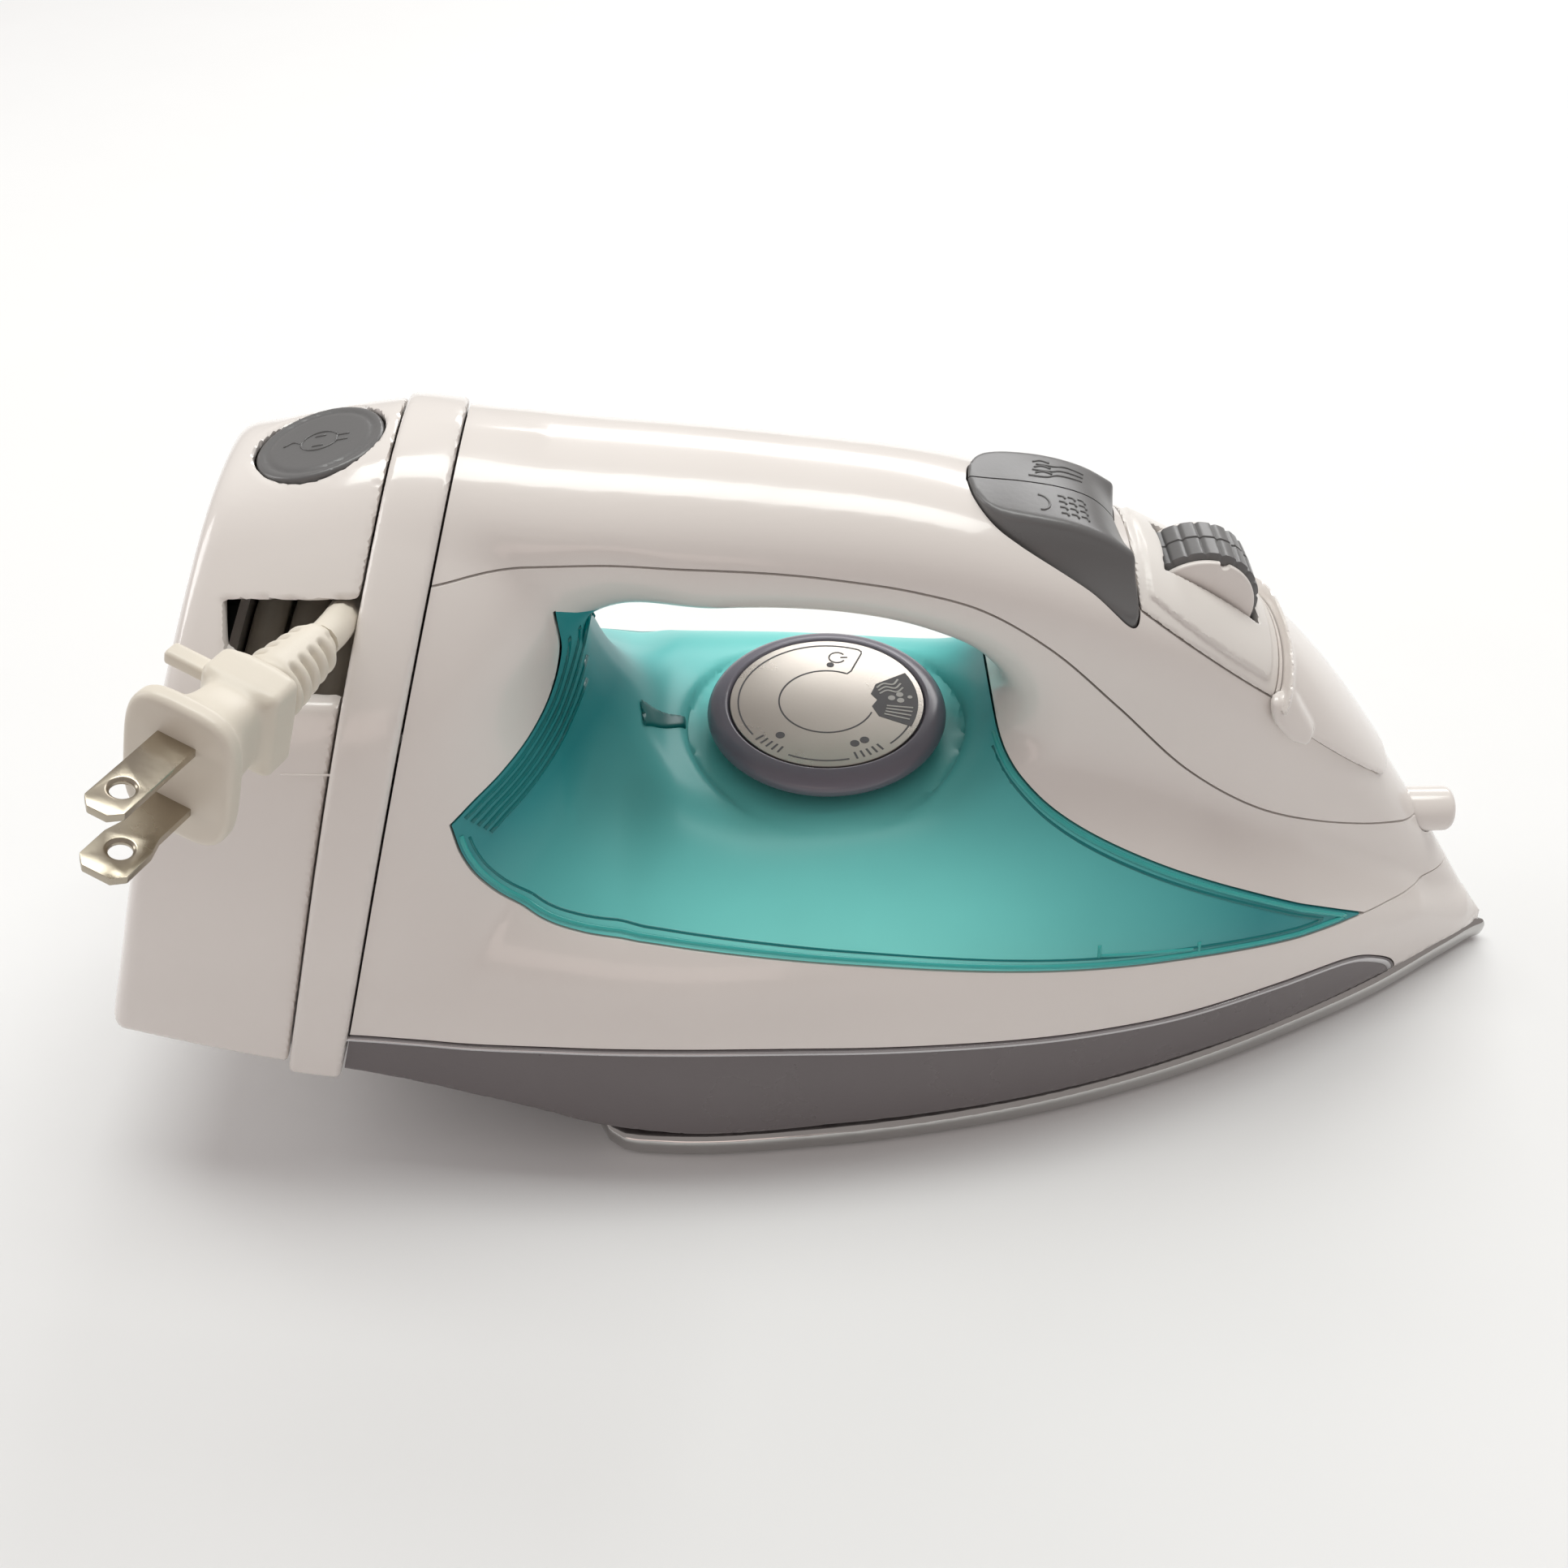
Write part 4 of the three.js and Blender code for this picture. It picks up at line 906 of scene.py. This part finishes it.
def grip_mesh():
    """A ribbed tyre: narrow grooves across it and one round the middle."""
    count, ribs = 264, 22
    rows = [(9.95, -5.5), (11.2, -5.5), (11.9, -5.1), (12.0, -0.35), (11.7, -0.2), (11.7, 0.2),
            (12.0, 0.35), (11.9, 5.1), (11.2, 5.5), (9.95, 5.5)]
    points, faces = [], []
    for k in range(count):
        angle = 2 * math.pi * k / count
        dip = 0.42 * (0.5 - 0.5 * math.cos(angle * ribs)) ** 8
        for r, h in rows:
            r = r - dip if r > 11 else r
            points.append((WHEEL[0] + r * math.cos(angle), h, WHEEL[2] + r * math.sin(angle)))
    n = len(rows)
    for k in range(count):
        j = (k + 1) % count
        faces += [(k * n + i, j * n + i, j * n + (i + 1) % n, k * n + (i + 1) % n) for i in range(n)]
    return mesh_object("wheel_grip_tyre", points, faces)


moulded(grip_mesh(), "steam_wheel", GREY, "wheel_grip")

door_side = outline_field(DOOR_REGION, 0.4)
ear_outline = [(80.6, 92.4), (81.4, 87.8), (86.0, 82.2), (90.4, 79.8), (91.6, 83.0), (86.2, 91.5)]
ear_side = outline_field(rounded(ear_outline, 2.0, closed=True), 0.3, 4.0)


def door_form(x, y, z):
    skin = field(x, y, z)
    run = (x - 81.8) * 0.93 - (z - 90.6) * 0.36
    lip = 3.4 * np.exp(-((run - 1.3) / 1.4) ** 2)
    leaf = np.maximum(smooth_max(skin - 1.3 - lip, door_side(x, z) + 0.25, 1.2), -(skin + 1.5))
    ear = smooth_max(smooth_max(skin - 2.6, ear_side(x, z), 1.4), 0.35 - skin, 0.4)
    return smooth_min(leaf, ear, 0.6)


door = field_mesh("fill_door_skin", door_form, (80, -26, 58), (120, 26, 108), 0.5)
moulded(door, "fill_flap", WHITE, "fill_door")

nozzle_outline = rounded([(0, -12), (3, -12), (3, -9), (5, -9), (5, 10.4), (4.2, 11.4), (2.2, 11.4),
                          (2.0, 9.4), (0.8, 9.2), (0.8, 4), (0, 4)], 0.6)
nozzle = lathe("spray_nozzle_tip", nozzle_outline, NOZZLE, "X", 48)
moulded(nozzle, "housing", WHITE, "spray_nozzle")

# ---- dial
DIAL_Z = 72.4
ring_outline = [(r, DIAL_Z + h) for r, h in (
    (3.5, -0.4), (21, -0.4), (23.6, 0.2), (24.8, 2.2), (24.3, 4), (22.6, 5.1), (20.6, 5.5), (20.15, 4.6),
    (20.1, 4.2), (3.5, 4.2))]
ring = lathe("dial_ring_rim", rounded(ring_outline, 1.6, closed=True, steps=5), (DIAL_X, 0, 0), "Z", 128)
moulded(ring, "dial", RING_GREY, "dial_ring", degrees=50)
LABEL_Z = DIAL_Z + 5.2
label_outline = [(0, LABEL_Z - 0.7), (19.9, LABEL_Z - 0.7), (19.9, LABEL_Z), (0, LABEL_Z)]
disc = lathe("dial_label_disc", rounded(label_outline, 0.15), (DIAL_X, 0, 0), "Z", 128)
moulded(disc, "dial", LABEL, "dial_label")

# ---- cord button
def cord_button_form(x, y, z):
    r = np.hypot(x - CORD_BUTTON[0], y)
    skin = field(x, y, z)
    top = field(x, 0.1 * y, z) + 1.0 + 0.45 * np.exp(-((r - 9.6) / 0.55) ** 2)
    return smooth_max(smooth_max(top, r - CORD_BUTTON[2], 1.0), -(skin + 3.6), 0.6)


cord_button = field_mesh("cord_button_cap", cord_button_form, (-108, -14, 128), (-81, 14, 146), 0.45)
moulded(cord_button, "cord_release", GREY, "cord_button")

# ---- trims that follow the surface
def on_side(line, side, sink=0.0, reach=None):
    """A line of the side view laid on the surface, sunk below it. Places off the material are left out."""
    x, z = np.array(line).T
    y = surface_y(x, z, sink)
    kept = (field(x, np.zeros_like(x), z) < -1) & (y > 1)
    if reach:
        kept &= reach(x, z)
    return [(a, side * b, c) for a, b, c in zip(x[kept], y[kept], z[kept])]


def side_bars(name, lines, radius, made_of, sink, reach=None):
    """Bars on both sides of the housing along lines of the side view."""
    bars = []
    for line in lines:
        for side in (-1, 1):
            points = on_side(line, side, sink, reach)
            if len(points) > 3:
                bars.append(bar(points, radius))
    return finish_piece(joined(name, bars), "housing", made_of)


weld_ribs = [smooth_line(offset_line(TANK_REAR, by)[::4], 1.2) for by in (1.3, 2.9, 4.5, 6.1, 7.7)]
side_bars("tank_weld_ribs", weld_ribs, 0.55, TEAL_EDGE, 0.15, reach=lambda x, z: z < 108)
side_bars("tank_rim", [offset_line(TANK_LOW, 0.9)[3:], offset_line(TANK_FRONT, 0.9)[5:-3]],
          0.65, TEAL_RIM, 0.25, reach=lambda x, z: x < 107)
side_bars("tank_rim_line", [offset_line(TANK_LOW, 2.1)[4:], offset_line(TANK_FRONT, 2.0)[5:-3]],
          0.5, TEAL_EDGE, 0.3, reach=lambda x, z: x < 101)
tab_lines = [[(49.6 + 0.6 * t, 46.3 - 0.14 * t) for t in range(35)],
             *[[(x, z - 0.4 * t) for t in range(7)] for x, z in ((49.4, 48.4), (71.4, 42.6))]]
side_bars("tank_tabs", tab_lines, 0.5, TEAL_RIM, 0.2)
# a real raised bead on the skirt, coloured bright as a painted highlight
side_bars("skirt_bead", [offset_line(SKIRT_TOP, -1.2)[1:-4]], 0.75, PAINTED_HIGHLIGHT_BEAD, 0.2)
side_bars("housing_panel_line", [[(-101.2 + t, 101.0) for t in range(17)]], 0.22, WHITE, 0.02)
INDEX_MARK = outline_field(INDEX_OUTLINE, 0.2, 3.0)


def index_form(x, y, z):
    """A raised wedge on the tank that the dial's marks are read against."""
    skin = field(x, y, z)
    return smooth_max(smooth_max(skin - 0.5, INDEX_MARK(x, y), 0.4), -(skin + 0.8), 0.3)


index_mark = field_mesh("tank_index", index_form, (-46, -12, 68), (-28, 8, 86), 0.5)
moulded(index_mark, "housing", TEAL_DARK)


# ---- marks of the dial
def turn_point(radius, degrees):
    angle = math.radians(degrees)
    return DIAL_X + radius * math.cos(angle), radius * math.sin(angle)


def arc(radius, start, end, step=2.0):
    count = max(int(abs(end - start) / step), 2)
    return [turn_point(radius, start + (end - start) * i / count) for i in range(count + 1)]


def flat(outlines, low, high, name):
    return joined(name, [prism(outline, low, high, "Z") for outline in outlines])


def spot(radius, degrees, size):
    x, y = turn_point(radius, degrees)
    return [(x + size * math.cos(a), y + size * math.sin(a)) for a in np.linspace(0, 2 * math.pi, 25)[:-1]]


def stroke(points, width):
    return strip(smooth_line(points, 0.3), width)


LINE = 0.34
frame_line = arc(18.2, 213, 66) + [turn_point(17.9, 63.5), turn_point(17.2, 62.5), turn_point(11, 60)]
frame_line += arc(9.8, 62, 337)
marks = [strip(frame_line, LINE), strip(arc(18.2, 243, 282), LINE), strip(arc(18.2, 312, 333), LINE)]
marks += [spot(14.2, 226.6, 0.95), spot(14.2, 291.0, 0.95), spot(14.2, 300.0, 0.95)]
marks += [stroke([turn_point(16.6, a + 4.5 * k), turn_point(18.6, a + 4.5 * k)], 0.42)
          for a in (218, 287) for k in range(5)]
off_x, off_y = turn_point(14.4, 79)
ring_out = [(off_x + 1.7 * math.cos(a), off_y + 1.7 * math.sin(a)) for a in np.linspace(0.6, 5.7, 24)]
marks += [strip(ring_out, LINE), stroke([(off_x + 0.7, off_y), (off_x + 2.2, off_y)], LINE),
          spot(11.8, 84, 0.8)]
sector = arc(18.8, -27, 27) + [turn_point(11.6, 26), turn_point(9.4, 12), turn_point(10.4, 0),
                               turn_point(9.4, -12), turn_point(11.6, -26)]
marks.append(sector)
printed = flat(marks, LABEL_Z - 0.06, LABEL_Z + 0.05, "dial_marks")
moulded(printed, "dial", INK)
pale = [spot(15.2, 5.5, 0.75), spot(15.2, -1.5, 0.75), spot(13.4, 2.0, 0.75), spot(17.2, 2.0, 0.5)]
pale += [stroke([turn_point(11.2, 14 + k), turn_point(13.0, 17 + k), turn_point(14.8, 13 + k),
                 turn_point(16.4, 17 + k)],
                0.4) for k in (-4, 1, 6)]
pale += [stroke([turn_point(12.4, a), turn_point(17.8, a)], 0.36) for a in (-9, -13, -17, -21)]
moulded(flat(pale, LABEL_Z + 0.02, LABEL_Z + 0.11, "dial_pale_marks"), "dial", PALE_INK)


# ---- raised marks on the buttons
def on_top(points, form, start):
    """A line drawn in plan, laid on a form's upper surface."""
    x, y = np.array(smooth_line(points, 0.4)).T
    return list(zip(x, y, surface_z(x, y, form, start)))


def raised(name, lines, form, start, body, radius=0.24):
    bars = [bar(on_top(line, form, start), radius, 5) for line in lines]
    finish_piece(joined(name, bars), body, GREY)


spray_marks = [[(34.4 + 1.9 * math.cos(a), -6.2 + 2.3 * math.sin(a)) for a in np.linspace(-1.6, 1.6, 9)]]
for row in range(4):
    down = -3.2 - 1.75 * row
    spray_marks += [[(38.2 + 1.9 * k, down + 0.15 * k), (39.3 + 1.9 * k, down + 0.15 * k),
                     (39.5 + 1.9 * k, down - 0.6)] for k in range(3)]
steam_marks = [[(33.5 + k, 2.4 + 2.2 * k), (37 + k, 2.6 + 2.2 * k), (39 + k, 3.8 + 2.0 * k),
                (44 + 0.4 * k, 4.4 + 1.6 * k)]
               for k in (0, 1, 2)]
steam_marks += [[(35.0, 3.6 + 2.0 * k), (36.6, 4.4 + 2.0 * k), (38.2, 3.9 + 2.0 * k)] for k in (0, 1, 2)]
raised("spray_button_marks", spray_marks, button_form, 136, "spray_trigger")
raised("steam_button_marks", steam_marks, button_form, 136, "steam_trigger")
plug_marks = [[(CORD_BUTTON[0] + 3.4 * math.cos(a), 3.0 * math.sin(a)) for a in np.linspace(0.5, 5.8, 16)],
              [(-91.4, 1.4), (-91.4, -1.4)], [(-91.4, 0.9), (-89.2, 0.9)], [(-91.4, -0.9), (-89.2, -0.9)],
              [(-97.8, 0.0), (-99.5, 1.0), (-101.2, 0.0)], [(-95.6, 1.6), (-93.6, 1.6)],
              [(-95.6, -1.6), (-93.6, -1.6)]]
raised("cord_button_marks", plug_marks, cord_button_form, 146, "cord_release")

# ---- plug
PLUG_AXES = np.array(plug_axes()).T


def place_plug_piece(obj):
    """Moves a piece made in the plug's own axes to where the plug is parked."""
    for vert in obj.data.vertices:
        vert.co = Vector(np.array(vert.co) / MM @ PLUG_AXES.T + PLUG_AT) * MM
    obj.data.update()
    return obj


def box_form(x, y, z, centre, half, corner):
    qx, qy, qz = (np.abs(v - c) - h + corner for v, c, h in zip((x, y, z), centre, half))
    out = np.sqrt(np.maximum(qx, 0) ** 2 + np.maximum(qy, 0) ** 2 + np.maximum(qz, 0) ** 2)
    return out + np.minimum(np.maximum(np.maximum(qx, qy), qz), 0) - corner


def oblong(x, z, half_x, half_z, power=3.2):
    out = ((np.abs(x) / half_x) ** power + (np.abs(z) / half_z) ** power) ** (1 / power) - 1
    return out * np.minimum(half_x, half_z)


waist_x = profile([[14, 5.6], [20, 5.6], [27, 5.4], [32, 6.2], [36, 8.6], [40, 9.3]], 1)
waist_z = profile([[14, 6.6], [20, 7.2], [27, 7.6], [32, 9.4], [36, 12.6], [40, 13.4]], 1)


def plug_form(x, y, z):
    trunk = smooth_max(oblong(x, z, waist_x(y), waist_z(y)), np.abs(y - 27) - 10, 0.8)
    face = smooth_max(oblong(x, z, 9.3, 13.4, 3.6), np.abs(y - 37.2) - 1.8, 1.3)
    shoulders = box_form(x, y, z, (0, 20.8, -1.0), (6.7, 3.6, 8.6), 1.6)
    tongue = box_form(x, y, z, (9.6, 20.2, 3.0), (5.0, 1.7, 1.3), 0.7)
    small = box_form(x, y, z, (8.4, 22.6, -3.4), (3.0, 1.2, 1.0), 0.6)
    form = trunk
    for part, blend in ((face, 0.6), (shoulders, 1.8), (tongue, 0.8), (small, 0.6)):
        form = smooth_min(form, part, blend)
    return form


def relief_form(x, y, z):
    r = np.hypot(x, z)
    skin = r - (4.3 + 0.115 * np.clip(y, -1, 20))
    groove = np.exp(-(((np.clip(y, 2.0, 15.4) - 2.9) % 2.9 - 1.45) / 0.62) ** 2)
    side = ramp(np.abs(x) / np.maximum(r, 0.1), 0.3, 0.6)
    ends = np.maximum(-y - 0.6, y - 16.6)
    return smooth_max(skin + 1.25 * groove * side, ends, 3.2)


plug = field_mesh("plug_moulding", plug_form, (-11, 15, -15), (16, 40, 15), 0.45)
moulded(place_plug_piece(plug), "housing", CREAM, "plug_body")
relief = field_mesh("plug_relief_ribs", relief_form, (-7, -1, -7), (7, 17, 7), 0.35)
moulded(place_plug_piece(relief), "housing", CREAM, "plug_relief", degrees=60)


BLADE_SPACING, BLADE_THICKNESS = 12.7, 1.5


def blade(name, side, root, tip, cad):
    """A flat blade, as wide as root and tip say to each side, with a hole countersunk on both faces."""
    half = [(root, 38.6), (root, 46.5), (tip, 49.5), (tip, 55.0), (tip - 1.6, 56.6)]
    outline = half + [(-a, b) for a, b in half[::-1]]
    middle = side * BLADE_SPACING / 2
    made = prism(outline, middle - BLADE_THICKNESS / 2, middle + BLADE_THICKNESS / 2, "Z")
    made.name = name
    sink = [(0, -3), (2.5, -3), (2.3, -0.85), (1.7, -0.3), (1.7, 0.3), (2.3, 0.85), (2.5, 3), (0, 3)]
    cut(made, lathe("sink", sink, (0, 51.2, middle), "Z", 40))
    made.modifiers.new("edge", "BEVEL").width = 0.15 * MM
    made.modifiers["edge"].segments = 2
    apply_modifiers(made)
    return moulded(place_plug_piece(made), "housing", NICKEL, cad, 30)


upper_blade = blade("plug_blade_upper", 1, 3.2, 3.2, "plug_blade_live")
lower_blade = blade("plug_blade_lower", -1, 3.1, 3.95, "plug_blade_neutral")

drop(SHELL)


# ---- floor and light
def add_floor():
    data = bpy.data.meshes.new("floor")
    half = 3.0
    data.from_pydata([(-half, -half, 0), (half, -half, 0), (half, half, 0), (-half, half, 0)], [], [range(4)])
    floor = new_object("floor", data)
    floor.data.materials.append(material("pale_floor", (0.84, 0.845, 0.85), 0.9, bump=0.0, mottle=0.004))
    floor.location.z = min(corner[2] for corner in CAD_BOX) - 0.0002
    return floor


def area(name, at, aim, size, power, color=(1, 1, 1)):
    data = bpy.data.lights.new(name, "AREA")
    data.shape = "RECTANGLE"
    data.size, data.size_y = size
    data.energy = power
    data.color = color
    light = new_object(name, data)
    light.location = at
    light.rotation_euler = (Vector(aim) - Vector(at)).to_track_quat("-Z", "Y").to_euler()
    return light


lights = [
    area("key", (0.05, 0.30, 1.25), (0, 0, 0.06), (1.4, 0.4), 11, (0.97, 1.0, 0.97)),
    area("back", (0.5, 1.3, 0.8), (0, 0, 0.08), (1.3, 0.4), 8),
    area("left", (-1.4, 0.2, 0.7), (-0.1, 0, 0.08), (0.4, 0.7), 4),
    area("front", (-0.35, -1.5, 0.3), (0, 0, 0.05), (1.1, 0.3), 1.2, (1.0, 0.80, 0.74)),
]
world = bpy.data.worlds.new("studio")
world.use_nodes = True
world.node_tree.nodes["Background"].inputs["Color"].default_value = (1, 0.92, 0.89, 1)
world.node_tree.nodes["Background"].inputs["Strength"].default_value = 0.4
bpy.context.scene.world = world
bpy.context.scene.view_settings.view_transform = "Standard"
add_floor()
